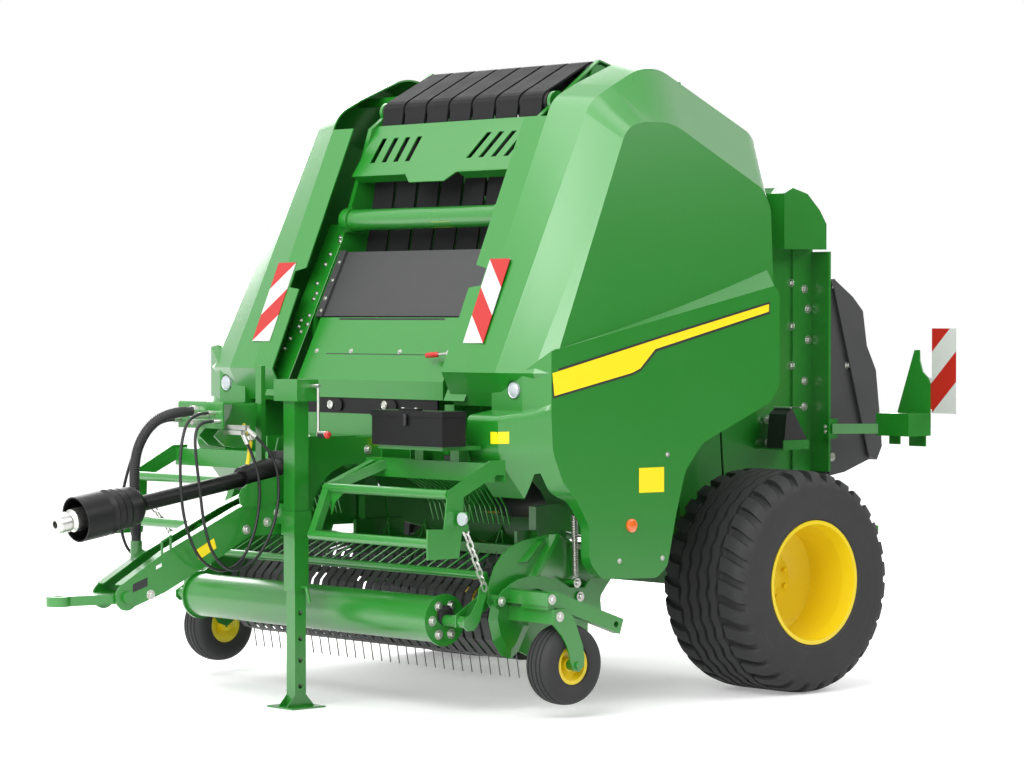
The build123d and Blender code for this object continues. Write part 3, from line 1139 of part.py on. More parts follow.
# ---- windguard: arms, roller and the rods behind it ----
EAR_X = SIDE_X + 17
EAR = [(-1962, 455), (-1962, 420), (-1940, 402), (-1902, 402), (-1868, 440), (-1852, 500), (-1822, 570),
       (-1822, 610), (-1850, 618), (-1868, 590), (-1880, 530), (-1915, 480)]
with BuildPart() as windguard:
    for side in (1, -1):
        slab_x([(GUARD_Y - 30, GUARD_Z - 25), (GUARD_Y - 30, GUARD_Z + 30), (GUARD_PIVOT_Y - 20, GUARD_PIVOT_Z + 30),
                (GUARD_PIVOT_Y + 30, GUARD_PIVOT_Z), (GUARD_PIVOT_Y, GUARD_PIVOT_Z - 30), (GUARD_Y + 40, GUARD_Z - 25)],
               side * ARM_X, side * (ARM_X + 8))
        disc_x(GUARD_PIVOT_Y, GUARD_PIVOT_Z, 30, side * ARM_X, side * (ARM_X + 28))
        disc_x(GUARD_PIVOT_Y, GUARD_PIVOT_Z, GUARD_PIN_R + RUN, side * (ARM_X - 10), side * (ARM_X + 40),
               mode=Mode.SUBTRACT)
        # axle of the roller, and the lug outside it that the chain pulls on
        disc_x(GUARD_Y, GUARD_Z, 14, side * 900, side * (EAR_X + 2))
        disc_x(GUARD_Y, GUARD_Z, 26, side * 930, side * (EAR_X + 1))
        slab_x(EAR, side * EAR_X, side * (EAR_X + 8))
    disc_x(RACK_Y, RACK_Z, 20, -(ARM_X + 8), ARM_X + 8)
    for side in (1, -1):
        bar((side * (ARM_X + 4), RACK_Y, RACK_Z), (side * (ARM_X + 4), RACK_Y + 30, 545), 8, 40)
    # crop rods
    start = (0, RACK_Y, RACK_Z + 14)
    ROD_TIP = (0, -1650, 725)
    plane = path_plane(start, ROD_TIP)
    with BuildSketch(plane) as rods:
        with Locations(*[plane.to_local_coords(Vector(-910 + k * 70, plane.origin.Y, plane.origin.Z))
                         for k in range(27)]):
            RegularPolygon(5, 6)
    extrude(rods.sketch, amount=span(start, ROD_TIP), dir=plane.z_dir)
save(windguard, "windguard_frame")

with BuildPart() as roller:
    turned_x([(-925, 0), (-925, 118), (-913, 118), (-913, GUARD_R), (913, GUARD_R), (913, 118), (925, 118),
              (925, 0)], 0, GUARD_Y, GUARD_Z)
    disc_x(GUARD_Y, GUARD_Z, 14 + RUN, -940, -899, mode=Mode.SUBTRACT)
    disc_x(GUARD_Y, GUARD_Z, 14 + RUN, 899, 940, mode=Mode.SUBTRACT)
save(roller, "windguard_roller")

# ---- gauge wheels ----
for side, name in ((1, "left"), (-1, "right")):
    with BuildPart() as gauge_tyre:
        turned_x([(60, 90), (68, 96), (GAUGE_HALF, 125), (GAUGE_HALF, 140), (66, 168), (40, 181), (0, GAUGE_R),
                  (-40, 181), (-66, 168), (-GAUGE_HALF, 140), (-GAUGE_HALF, 125), (-68, 96), (-60, 90)],
                 side * GAUGE_X, GAUGE_Y, GAUGE_Z, side)
    save(gauge_tyre, f"gauge_tyre_{name}")
    with BuildPart() as gauge_rim:
        turned_x([(60, 89), (60, 72), (20, 66), (14, 34), (40, 30), (40, GAUGE_PIN_R + RUN),
                  (-GAUGE_HALF + 4, GAUGE_PIN_R + RUN), (-GAUGE_HALF + 4, 30), (-40, 34), (-60, 72), (-60, 89)],
                 side * GAUGE_X, GAUGE_Y, GAUGE_Z, side)
    save(gauge_rim, f"gauge_rim_{name}")

# ---- tailgate ----
CHOCK_X = WALL_OUT + 75
CHOCK_Y = 400.0
NET_BACK_Y = 806.0
NET_HALF = 750.0
TAIL_WALL = [
    (104, 2440), (560, 2462), (700, 2385), (790, 2150), (805, 980), (700, 700), (400, 620), (200, 700),
    (190, 800), (130, 1600), (70, 2440),
]
with BuildPart() as tailgate:
    for side in (1, -1):
        slab_x(TAIL_WALL, side * WALL_IN, side * WALL_OUT)
        # hinge plate outside the fixed wall
        slab_x([(-40, 2500), (20, 2580), (80, 2500), (420, 2455), (420, 2380), (110, 2380), (20, 2460)],
               side * (WALL_OUT + 6 + GAP), side * (WALL_OUT + 22))
        disc_x(TAIL_HINGE_Y, TAIL_HINGE_Z, TAIL_PIN_R + RUN, side * WALL_OUT, side * 700, mode=Mode.SUBTRACT)
        block(side * (WALL_OUT - 1), side * (WALL_OUT + 7), 180, 400, 2395, 2440)
        # bearing housing of the upper rear roller, and the bolted rail below it
        slab_x([(470, 2150), (470, 2430), (530, 2458), (640, 2430), (730, 2350), (780, 2280), (780, 2150)],
               side * (WALL_OUT - 1), side * 745)
        block(side * (WALL_OUT - 1), side * 630, 655, 800, 1020, 2160)
        block(side * 620, side * (NET_HALF + 2), 790, NET_BACK_Y - GAP, 1020, 2140)
        # foot plate of the bale ramp
        slab_x([(620, 690), (620, 790), (900, 760), (RAMP_END_Y, 720), (RAMP_END_Y, 690)],
               side * 640, side * 652)
        block(side * WALL_OUT, side * 640, 630, 690, 700, 780)
    block(-WALL_IN - 1, WALL_IN + 1, 480, 620, 2438, 2456)
    block(-WALL_IN - 1, WALL_IN + 1, 300, 420, 640, 700)
    # shelf and wire of the chock's holder, on the left
    block(WALL_OUT - 1, CHOCK_X + 126, CHOCK_Y - 8, CHOCK_Y + 178, 1143, 1150 - GAP)
    block(WALL_OUT - 1, CHOCK_X - GAP, CHOCK_Y + 60, CHOCK_Y + 70, 1143, 1300)
    block(CHOCK_X + 120 + GAP, CHOCK_X + 126, CHOCK_Y - 8, CHOCK_Y + 178, 1143, 1190)
save(tailgate, "tailgate_frame")

TAIL_ROLLERS = (
    # y, z, radius
    (600, 2330, 80),
    (690, 900, 80),
    (300, 800, 70),
)
with BuildPart() as tail_rollers:
    for y, z, radius in TAIL_ROLLERS:
        disc_x(y, z, radius, -(WALL_IN - GAP), WALL_IN - GAP)
save(tail_rollers, "tailgate_rollers")

TAIL_BELT = ([(200, 2250)] + wrap(TAIL_ROLLERS[0], 105, 0) + wrap(TAIL_ROLLERS[1], 0, -75)
             + wrap(TAIL_ROLLERS[2], -75, -150))
with BuildPart() as tail_belts:
    belt_strips(TAIL_BELT, BELT)
save(tail_belts, "tailgate_belts")

# ---- net box on the tailgate, with its cover ----
NET_LINE = [(NET_BACK_Y, 1970), (973, 1911), (1050, 1838), (1080, 1660), (1150, 1533), (1180, 1300), (1197, 1140),
            (1158, 1070), (942, 1000), (NET_BACK_Y, 980)]
NET_WALL = 8.0
NET_PIN_Y = 830.0
NET_PIN_Z = 1985.0
NET_PIN_R = 8.0
with BuildPart() as net_box:
    for side in (1, -1):
        slab_x(inset(NET_LINE, NET_WALL + 6), side * (NET_HALF - 30), side * (NET_HALF - 22))
        disc_x(NET_PIN_Y, NET_PIN_Z, NET_PIN_R, side * (NET_HALF - 60), side * (NET_HALF - 1))
        slab_x([(NET_BACK_Y, 1940), (NET_BACK_Y, 2000), (845, 2000), (845, 1940)], side * (NET_HALF - 34), side * (NET_HALF - 22))
    block(-(NET_HALF - 30), NET_HALF - 30, NET_BACK_Y, NET_BACK_Y + 8, 1000, 1940)
    band([(814, 1002), (942, 1020), (1140, 1082)], 6, -(NET_HALF - 30), NET_HALF - 30)
    disc_x(960, 1600, 110, -610, 610)
    for side in (1, -1):
        disc_x(960, 1600, 30, side * 610, side * (NET_HALF - 30))
save(net_box, "net_box")

with BuildPart() as cover:
    outer = NET_LINE[1:8]
    back = [(850, 1955)] + outer
    band(back, -NET_WALL, -NET_HALF, NET_HALF)
    for side in (1, -1):
        slab_x([(812, 1985), (822, 2001), (850, 1990)] + outer + [(1100, 1085), (850, 1900), (830, 1968)],
               side * (NET_HALF - 8), side * NET_HALF)
        disc_x(NET_PIN_Y, NET_PIN_Z, 17, side * (NET_HALF - 20), side * NET_HALF)
        disc_x(NET_PIN_Y, NET_PIN_Z, NET_PIN_R + RUN, side * (NET_HALF - 22), side * (NET_HALF + 2),
               mode=Mode.SUBTRACT)
save(cover, "net_cover")

# ---- rear light boxes and boards, on arms from the tailgate ----
LIGHT_Y = 1120.0
with BuildPart() as brackets:
    for side in (1, -1):
        bar((side * (NET_HALF + 40), 770, 1240), (side * 950, 1000, 1240), 50, 50)
        block(side * (NET_HALF + 2 + GAP), side * (NET_HALF + 50), 740, 806, 1190, 1290)
        block(side * 930, side * 1150, 950, LIGHT_Y, 1205, 1320)
        # gusset with a hollow curved edge
        slab_y([(side * 930, 1319), (side * 1150, 1319), (side * 1150, 1470), (side * 1136, 1500),
                (side * 1100, 1530), (side * 1080, 1590), (side * 1078, 1640), (side * 1046, 1640)],
               LIGHT_Y - 8, LIGHT_Y)
        block(side * 940, side * 1010, 1040, 1050, 1160, 1206)
        block(side * 1010, side * 1120, LIGHT_Y - 8, LIGHT_Y, 1150, 1206)
save(brackets, "light_brackets")

with BuildPart() as rear_boards:
    for side in (1, -1):
        block(side * 1155, side * 1313, LIGHT_Y + 1, LIGHT_Y + 5, 1320, 1750)
        block(side * 1080, side * 1160, LIGHT_Y + GAP, LIGHT_Y + 4, 1340, 1500)
save(rear_boards, "rear_boards")

# ---- wheel chock in its holder, on the left behind the wheel ----
with BuildPart() as chock:
    slab_x([(CHOCK_Y, 1150), (CHOCK_Y + 20, 1320), (CHOCK_Y + 60, 1350), (CHOCK_Y + 170, 1190), (CHOCK_Y + 170, 1150)],
           CHOCK_X, CHOCK_X + 120)
save(chock, "wheel_chock")
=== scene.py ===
import json
import math

import bmesh
import bpy
from mathutils import Matrix, Vector
from mathutils.bvhtree import BVHTree


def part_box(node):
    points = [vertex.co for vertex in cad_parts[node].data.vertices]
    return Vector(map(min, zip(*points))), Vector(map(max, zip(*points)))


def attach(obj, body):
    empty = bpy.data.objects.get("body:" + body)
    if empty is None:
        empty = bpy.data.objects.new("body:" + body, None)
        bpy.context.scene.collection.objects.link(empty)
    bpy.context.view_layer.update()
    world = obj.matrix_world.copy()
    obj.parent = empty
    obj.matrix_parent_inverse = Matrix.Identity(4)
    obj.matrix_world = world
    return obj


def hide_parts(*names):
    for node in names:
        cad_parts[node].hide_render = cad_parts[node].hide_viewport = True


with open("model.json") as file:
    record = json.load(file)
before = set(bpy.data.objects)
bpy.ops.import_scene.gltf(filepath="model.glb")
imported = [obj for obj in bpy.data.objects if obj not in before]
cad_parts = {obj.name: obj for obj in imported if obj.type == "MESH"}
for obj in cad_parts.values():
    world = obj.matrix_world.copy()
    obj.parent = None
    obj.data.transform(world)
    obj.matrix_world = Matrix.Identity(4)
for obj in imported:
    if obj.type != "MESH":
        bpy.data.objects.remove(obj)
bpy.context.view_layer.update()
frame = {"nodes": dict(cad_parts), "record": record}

nodes = frame["nodes"]
mm = 0.001
wheelLow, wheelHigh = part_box("tyre_left")
axleY = (wheelLow.y + wheelHigh.y) / 2


def place(x, y, z):
    # millimetres, y from the axle
    return Vector((x * mm, axleY + y * mm, z * mm))


def newObject(name, data):
    made = bpy.data.objects.new(name, data)
    bpy.context.scene.collection.objects.link(made)
    return made


# camera, set out from the wheels' axle: metres, degrees and millimetres of lens
print("camera")
cameraSet = {"x": 12.334, "yFromAxle": -11.684, "z": 1.820, "turn": 48.312, "down": 1.196, "lens": 117.0}


def addCamera():
    turn, down = math.radians(cameraSet["turn"]), math.radians(cameraSet["down"])
    gaze = Vector((-math.sin(turn) * math.cos(down), math.cos(turn) * math.cos(down), -math.sin(down)))
    data = bpy.data.cameras.new("productCamera")
    data.lens = cameraSet["lens"]
    data.sensor_width = 36
    data.clip_end = 200
    camera = newObject("productCamera", data)
    camera.location = (cameraSet["x"], axleY + cameraSet["yFromAxle"], cameraSet["z"])
    camera.rotation_euler = gaze.to_track_quat("-Z", "Y").to_euler()
    bpy.context.scene.camera = camera


addCamera()
bpy.context.scene.view_settings.view_transform = "Standard"

# hoses and the cable conduit: route in mm (y from the axle), real length and diameter in metres
print("cords")
hoseTable = {
    "hoseNearUpper": {"node": "hose_near_upper", "length": 1.637, "diameter": 0.014, "points": [
        (110, -2652, 1372), (110, -2752, 1372), (146, -2830, 1240), (172, -2852, 1056), (180, -2834, 876),
        (182, -2758, 712), (176, -2626, 642), (168, -2500, 690), (160, -2418, 826), (150, -2382, 984),
        (138, -2388, 1122), (128, -2440, 1228)]},
    "hoseNearLower": {"node": "hose_near_lower", "length": 1.620, "diameter": 0.014, "points": [
        (150, -2652, 1335), (150, -2714, 1335), (163, -2762, 1291), (182, -2774, 1194), (200, -2764, 1040),
        (206, -2746, 872), (202, -2692, 724), (198, -2580, 642), (196, -2446, 688), (192, -2348, 814),
        (186, -2300, 968), (174, -2298, 1104), (162, -2346, 1206), (150, -2412, 1262)]},
    "hoseFarUpper": {"node": "hose_far_upper", "length": 0.879, "diameter": 0.014, "points": [
        (-110, -2652, 1368), (-110, -2756, 1368), (-142, -2850, 1262), (-172, -2900, 1102),
        (-186, -2930, 942), (-184, -2922, 806), (-166, -2880, 716), (-150, -2815, 690)]},
    "hoseFarLower": {"node": "hose_far_lower", "length": 0.834, "diameter": 0.014, "points": [
        (-150, -2652, 1335), (-150, -2746, 1335), (-184, -2812, 1216), (-206, -2846, 1056),
        (-212, -2862, 900), (-206, -2838, 774), (-192, -2780, 704), (-180, -2710, 690)]},
    "cableConduit": {"node": "conduit", "length": 0.761, "diameter": 0.044, "points": [
        (-115, -2890, 790), (-115, -2890, 920), (-124, -2896, 1070), (-112, -2890, 1215), (-70, -2832, 1330),
        (-30, -2737, 1376), (-30, -2642, 1376)]},
}
pointRadius = 0.01
cords = {}


def addHose(name, settings):
    points = [place(*p) for p in settings["points"]]
    data = bpy.data.curves.new(name, "CURVE")
    data.dimensions = "3D"
    data.resolution_u = 8
    # a curve's box grows by its points' radius, so that stays small and the bevel makes up for it
    data.bevel_depth = settings["diameter"] / 2 / pointRadius
    data.bevel_resolution = 5
    spline = data.splines.new("NURBS")
    spline.points.add(len(points) - 1)
    for target, point in zip(spline.points, points):
        target.co = (*point, 1.0)
        target.radius = pointRadius
    spline.order_u = 3
    spline.use_endpoint_u = True
    hose = newObject(name, data)
    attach(hose, "frame")
    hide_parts(settings["node"])
    cords[name] = hose


for name, settings in hoseTable.items():
    addHose(name, settings)

# materials: patterns are scaled in millimetres on Object coordinates
print("materials")


def srgb(code):
    # sRGB hex to the linear colour a shader takes
    values = [int(code[k:k + 2], 16) / 255 for k in (1, 3, 5)]
    return tuple(v / 12.92 if v <= 0.04045 else ((v + 0.055) / 1.055) ** 2.4 for v in values) + (1.0,)


def addNode(material, kind, inputs=None, **settings):
    node = material.node_tree.nodes.new(kind)
    for key, value in settings.items():
        setattr(node, key, value)
    for key, value in (inputs or {}).items():
        if isinstance(value, bpy.types.NodeSocket):
            material.node_tree.links.new(value, node.inputs[key])
        else:
            node.inputs[key].default_value = value
    return node


def newMaterial(name, inputs):
    material = bpy.data.materials.new(name)
    material.use_nodes = True
    shader = material.node_tree.nodes["Principled BSDF"]
    for key, value in inputs.items():
        shader.inputs[key].default_value = value
    return material, shader


def wear(material, shader, size, low, high):
    # a cloudy change of gloss: size is the cloud's width in mm
    spot = addNode(material, "ShaderNodeTexCoord")
    cloud = addNode(material, "ShaderNodeTexNoise",
                    {"Vector": spot.outputs["Object"], "Scale": 1 / (size * mm), "Detail": 3.0})
    gloss = addNode(material, "ShaderNodeMapRange",
                    {"Value": cloud.outputs["Fac"], "From Min": 0.3, "From Max": 0.7, "To Min": low, "To Max": high})
    material.node_tree.links.new(gloss.outputs["Result"], shader.inputs["Roughness"])
    return spot


def grain(material, shader, spot, size, depth):
    # raised grain: size is the grain's width and depth its height, in mm
    noise = addNode(material, "ShaderNodeTexNoise",
                    {"Vector": spot.outputs["Object"], "Scale": 1 / (size * mm), "Detail": 2.0})
    bump = addNode(material, "ShaderNodeBump",
                   {"Height": noise.outputs["Fac"], "Distance": depth * mm, "Strength": 0.6})
    material.node_tree.links.new(bump.outputs["Normal"], shader.inputs["Normal"])


def enamel(name, code, low, high, coat, coatIor=1.5):
    # sprayed and baked enamel: an even colour under a clear gloss that softens the highlights
    material, shader = newMaterial(name, {"Base Color": srgb(code), "Metallic": 0.0, "Coat Weight": coat,
                                          "Coat Roughness": 0.22, "Coat IOR": coatIor, "IOR": 1.5})
    wear(material, shader, 350, low, high)
    return material


def moulded(name, code, rough, size, depth, specular=0.5):
    # injection moulded or rubber surface: no coat, a dull sheen broken by its grain
    material, shader = newMaterial(name, {"Base Color": srgb(code), "IOR": 1.48, "Specular IOR Level": specular})
    spot = wear(material, shader, 120, rough - 0.05, rough + 0.05)
    grain(material, shader, spot, size, depth)
    return material


def metal(name, code, low, high):
    # bare metal: all its brightness is reflection, dulled by the surface
    material, shader = newMaterial(name, {"Base Color": srgb(code), "Metallic": 1.0})
    wear(material, shader, 50, low, high)
    return material


# sprayed enamel on steel: strong colour with a pale veil where it faces a softbox
greenEnamel = enamel("greenEnamelSteel", "#1A7E1E", 0.34, 0.40, 0.8, 1.65)
panelGreen = enamel("greenPaintedPanel", "#187E1D", 0.36, 0.41, 0.8, 1.65)  # the same on moulded panels
yellowEnamel = enamel("yellowEnamelSteel", "#F0D41C", 0.30, 0.36, 0.35)  # rims, warm and glossy
blackEnamel = enamel("satinBlackEnamel", "#262628", 0.42, 0.50, 0.10)  # satin, hardly a highlight
redEnamel = enamel("redMouldedGrip", "#C3261F", 0.35, 0.42, 0.2)  # bright accent on the hand grips

# moulded plastics and rubbers: grain width and height in mm, coarse enough to show
blackPlastic = moulded("grainedBlackPolypropylene", "#212122", 0.52, 4, 0.4)  # fittings, soft sheen
guardPlastic = moulded("blackMouldedPolyethylene", "#101011", 0.42, 4, 0.3, 0.3)  # guards and toolbox, deep black
coverPlasticPaintedLight = moulded("greyPolyethylenePaintedRearLight", "#434344", 0.5, 4, 0.4)  # net cover, dull grey: a lighter copy of the black moulding, with painted light standing in for the light that falls on it from the rear
windowPlastic = moulded("greyWindowRubberSheet", "#3C3C3D", 0.55, 3, 0.1)  # flat rubber sheet, smooth
tyreRubber = moulded("tyreRubber", "#2B2B2C", 0.72, 6, 0.6)  # matt and warm dark
beltRubber = moulded("wovenFaceBeltRubber", "#242425", 0.66, 5, 0.5, 0.15)  # woven face, throws little light back
hoseRubber = moulded("smoothHoseRubber", "#121213", 0.42, 3, 0.1)  # smooth, with a thin highlight along it

# bare metals
zincSteel = metal("brightZincSteel", "#D3D3CE", 0.28, 0.36)  # plated bolts and pins
darkSteel = metal("darkSpringSteel", "#5C5B5A", 0.38, 0.48)  # oiled springs and tines

# sheets, lenses and labels
reflectWhite = enamel("whiteRetroreflectiveSheet", "#E4E6E4", 0.30, 0.34, 0.3)  # glass-beaded, pale
lensClear = enamel("frostedClearLens", "#B9C0C6", 0.16, 0.20, 0.8)  # bluish grey, sharp highlight
lensAmber = enamel("amberLens", "#EE6E1E", 0.16, 0.20, 0.8)  # orange, sharp highlight
labelYellow = enamel("yellowVinylLabel", "#FFE61A", 0.38, 0.42, 0.1)  # printed film, flat colour
labelWhite = enamel("whiteVinylLabel", "#EDEDEA", 0.38, 0.42, 0.1)  # the same in white

slotMaterials = {
    "green_paint": greenEnamel, "green_panel": panelGreen, "yellow_paint": yellowEnamel,
    "black_plastic": blackPlastic, "black_paint": blackEnamel, "tyre_rubber": tyreRubber,
    "belt_rubber": beltRubber, "hose_rubber": hoseRubber, "steel": zincSteel, "spring_steel": darkSteel,
    "board": reflectWhite, "reflector": lensClear,
}
# the net cover and net box take the lighter grey, painted light for the light that falls on them from the rear
nodeMaterials = {
    "window_board": windowPlastic, "net_cover": coverPlasticPaintedLight, "net_box": coverPlasticPaintedLight, "wheel_chock": blackPlastic,
    "pto_guard": guardPlastic, "toolbox": guardPlastic, "toolbox_lid": guardPlastic, "sensor_strip": guardPlastic,
}


def dress(piece, material):
    piece.data.materials.clear()
    piece.data.materials.append(material)


def deselect():
    if bpy.context.object and bpy.context.object.mode != "OBJECT":
        bpy.ops.object.mode_set(mode="OBJECT")
    bpy.ops.object.select_all(action="DESELECT")


for part in frame["record"]["subparts"]:
    node = part["node"]
    dress(nodes[node], nodeMaterials.get(node, slotMaterials[part["material_slot"]]))
deselect()

for name, hose in cords.items():
    dress(hose, blackPlastic if name == "cableConduit" else hoseRubber)

# helpers for the new pieces
trees = {}


def surface(node, start, direction):
    # the point and the normal where a straight line meets a CAD node
    if node not in trees:
        mesh = nodes[node].data
        trees[node] = BVHTree.FromPolygons([v.co for v in mesh.vertices], [p.vertices for p in mesh.polygons])
    point, normal, face, distance = trees[node].ray_cast(start, Vector(direction).normalized())
    return point, normal


def settle(piece, name, body, material):
    # transform into the mesh, name, finish and body
    piece.data.transform(piece.matrix_basis)
    piece.matrix_basis = Matrix.Identity(4)
    piece.name = name
    piece.data.name = name
    dress(piece, material)
    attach(piece, body)
    return piece


def applyAll(piece):
    deselect()
    piece.select_set(True)
    bpy.context.view_layer.objects.active = piece
    for modifier in list(piece.modifiers):
        bpy.ops.object.modifier_apply(modifier=modifier.name)


def smoothByAngle(piece, degrees):
    for polygon in piece.data.polygons:
        polygon.use_smooth = True
    deselect()
    piece.select_set(True)
    bpy.context.view_layer.objects.active = piece
    bpy.ops.object.shade_smooth_by_angle(angle=math.radians(degrees))


def joinCopies(seed, frames):
    # copies of one seed mesh, each set out by its own frame, as one mesh
    whole = bmesh.new()
    for matrix in frames:
        start = len(whole.verts)
        whole.from_mesh(seed.data)
        whole.verts.ensure_lookup_table()
        bmesh.ops.transform(whole, matrix=matrix, verts=whole.verts[start:])
    mesh = bpy.data.meshes.new(seed.name)
    whole.to_mesh(mesh)
    whole.free()
    piece = newObject(seed.name, mesh)
    smoothByAngle(piece, 35)
    return piece


def onNormal(point, normal):
    return Matrix.Translation(point) @ Vector(normal).to_track_quat("Z", "Y").to_matrix().to_4x4()


def boltSeed(acrossFlats, height):
    # hexagon head with a chamfered top on a round washer
    deselect()
    bpy.ops.mesh.primitive_cylinder_add(vertices=6, radius=acrossFlats / 1.732, depth=height,
                                        location=(0, 0, height * 0.75))
    head = bpy.context.object
    head.modifiers.new("edge", "BEVEL").width = height * 0.16
    applyAll(head)
    deselect()
    bpy.ops.mesh.primitive_cylinder_add(vertices=20, radius=acrossFlats * 0.95, depth=height * 0.3,
                                        location=(0, 0, height * 0.15))
    washer = bpy.context.object
    washer.modifiers.new("edge", "BEVEL").width = height * 0.05
    applyAll(washer)
    head.select_set(True)
    bpy.context.view_layer.objects.active = head
    bpy.ops.object.join()
    head.data.transform(head.matrix_basis)
    head.matrix_basis = Matrix.Identity(4)
    return head


def domeSeed(radius, height):
    # low round lens or rivet head in a thin rim
    deselect()
    bpy.ops.mesh.primitive_cylinder_add(vertices=32, radius=radius, depth=height, location=(0, 0, height / 2))
    dome = bpy.context.object
    bpy.ops.object.mode_set(mode="EDIT")
    bpy.ops.mesh.select_all(action="DESELECT")
    bpy.ops.object.mode_set(mode="OBJECT")
    for polygon in dome.data.polygons:
        polygon.select = polygon.normal.z > 0.9
    bpy.ops.object.mode_set(mode="EDIT")
    bpy.ops.mesh.inset(thickness=radius * 0.14)
    bpy.ops.transform.translate(value=(0, 0, -height * 0.2))
    bpy.ops.mesh.inset(thickness=radius * 0.2)
    bpy.ops.transform.translate(value=(0, 0, height * 0.3))
    bpy.ops.mesh.inset(thickness=radius * 0.3)
    bpy.ops.transform.translate(value=(0, 0, height * 0.15))
    bpy.ops.object.mode_set(mode="OBJECT")
    dome.data.transform(dome.matrix_basis)
    dome.matrix_basis = Matrix.Identity(4)
    return dome


def scatter(name, seed, places, body, material, lift=0.0):
    # a seed on each place of a table: node it stands on, start in mm, direction of the look
    frames = []
    for node, start, direction in places:
        point, normal = surface(node, place(*start), direction)
        if point is None:
            print("no surface for", name, node, start)
            continue
        frames.append(onNormal(point + normal * lift, normal))
    piece = joinCopies(seed, frames)
    settle(piece, name, body, material)
    return piece


def skin(name, node, corners, direction, body, material, proud=0.0006, step=0.05):
    # a thin printed sheet laid on a CAD surface: corners in mm, cut small and dropped along direction
    look = Vector(direction).normalized()
    sheet = bmesh.new()
    sheet.faces.new([sheet.verts.new(place(*corner)) for corner in corners])
    low = Vector([min(v.co[k] for v in sheet.verts) for k in range(3)])
    high = Vector([max(v.co[k] for v in sheet.verts) for k in range(3)])
    for axis in range(3):
        count = int((high[axis] - low[axis]) / step)
        for k in range(1, count + 1):
            cut = low.copy()
            cut[axis] = low[axis] + (high[axis] - low[axis]) * k / (count + 1)
            normal = Vector((axis == 0, axis == 1, axis == 2))
            bmesh.ops.bisect_plane(sheet, geom=sheet.verts[:] + sheet.edges[:] + sheet.faces[:],
                                   plane_co=cut, plane_no=normal)
    stray = []
    for vertex in sheet.verts:
        point, normal = surface(node, vertex.co - look * 0.1, look)
        if point is None:
            stray.append(vertex)
        else:
            vertex.co = point - look * proud
    bmesh.ops.delete(sheet, geom=stray, context="VERTS")
    bmesh.ops.recalc_face_normals(sheet, faces=sheet.faces)
    for face in sheet.faces:
        if face.normal.dot(look) > 0:
            face.normal_flip()
    mesh = bpy.data.meshes.new(name)
    sheet.to_mesh(mesh)
    sheet.free()
    return settle(newObject(name, mesh), name, body, material)


def rodPiece(name, start, end, radius, body, material, slot, sides=20, ends=0.35):
    # round bar between two points in mm, its ends eased by a bevel
    deselect()
    first, last = place(*start), place(*end)
    span = last - first
    bpy.ops.mesh.primitive_cylinder_add(vertices=sides, radius=radius * mm, depth=span.length)
    rod = bpy.context.object
    bevel = rod.modifiers.new("ends", "BEVEL")
    bevel.width = radius * mm * ends
    bevel.segments = 3
    bevel.limit_method = "ANGLE"
    bevel.angle_limit = math.radians(60)
    applyAll(rod)
    bpy.ops.object.shade_smooth_by_angle(angle=math.radians(40))
    rod.matrix_basis = onNormal((first + last) / 2, span)
    return settle(rod, name, body, material)


def platePiece(name, corners, thick, body, material):
    # flat sheet with four corners in mm, thickened and with eased edges
    deselect()
    bpy.ops.mesh.primitive_plane_add(size=1, location=(0, 0, 0))
    plate = bpy.context.object
    for vertex, corner in zip((0, 1, 3, 2), corners):
        plate.data.vertices[vertex].co = place(*corner)
    solid = plate.modifiers.new("thickness", "SOLIDIFY")
    solid.thickness = thick * mm
    solid.offset = 0
    edge = plate.modifiers.new("edges", "BEVEL")
    edge.width = thick * mm * 0.25
    applyAll(plate)
    return settle(plate, name, body, material)


# tyres with their tread, in mm: the half section goes from the middle out, with the distance along the axle, the
# radius and the kind of tread there (0 groove, 1 rib, 2 shoulder lug, 3 plain)
print("tyres")
driveTyre = {
    "pitches": 30, "phases": (0.0, 0.17, 0.21, 0.36, 0.52, 0.68, 0.79, 0.83), "wave": 6.0,
    "waveEnd": 125.0, "crown": 120.0, "lugStart": 132.0, "lugReach": 145.0, "sweep": 58.0, "lugFade": (250.0, 274.0),
    "grooveDepth": 21.0, "lugDepth": 24.0, "gapPhase": 0.19, "half": [
        (0, 535, 0), (8, 535, 0), (11, 535, 1), (32, 535, 1), (53, 535, 1), (56, 535, 0), (72, 535, 0),
        (75, 535, 1), (96, 535, 1), (117, 535, 1), (120, 535, 0), (131, 535, 0), (134, 535, 2), (165, 534, 2),
        (196, 532, 2), (222, 527, 2), (243, 518, 2), (257, 504, 2), (266, 488, 2), (272, 470, 2), (274, 458, 3),
        (274.6, 448, 3), (274, 434, 3), (274.9, 430, 3), (274.7, 424, 3), (273.6, 420, 3), (274.6, 406, 3),
        (274, 376, 3), (271, 350, 3), (268, 330, 3), (264, 316, 3), (265, 311, 3), (262, 308, 3), (254, 300, 3),
        (246.4, 292, 3), (246.4, 284, 3)],
}
gaugeTyre = {
    "pitches": 24, "phases": (0.0, 0.33, 0.67), "wave": 0.0,
    "waveEnd": 125.0, "crown": 120.0, "lugStart": 999.0, "lugReach": 145.0, "sweep": 0.0, "lugFade": (250.0, 274.0),
    "grooveDepth": 5.0, "lugDepth": 0.0, "gapPhase": 0.19, "half": [
        (0, 184, 1), (10, 184, 1), (12, 184, 0), (18, 183.6, 0), (20, 183.4, 1), (34, 181.6, 1), (36, 181.2, 0),
        (42, 180, 0), (44, 179.4, 1), (56, 174.6, 1), (66, 168, 1), (73, 158, 1), (77.5, 146, 3), (78.4, 132, 3),
        (77, 118, 3), (73, 106, 3), (70, 98, 3), (71, 95.5, 3), (68, 93, 3), (62, 90, 3)],
}


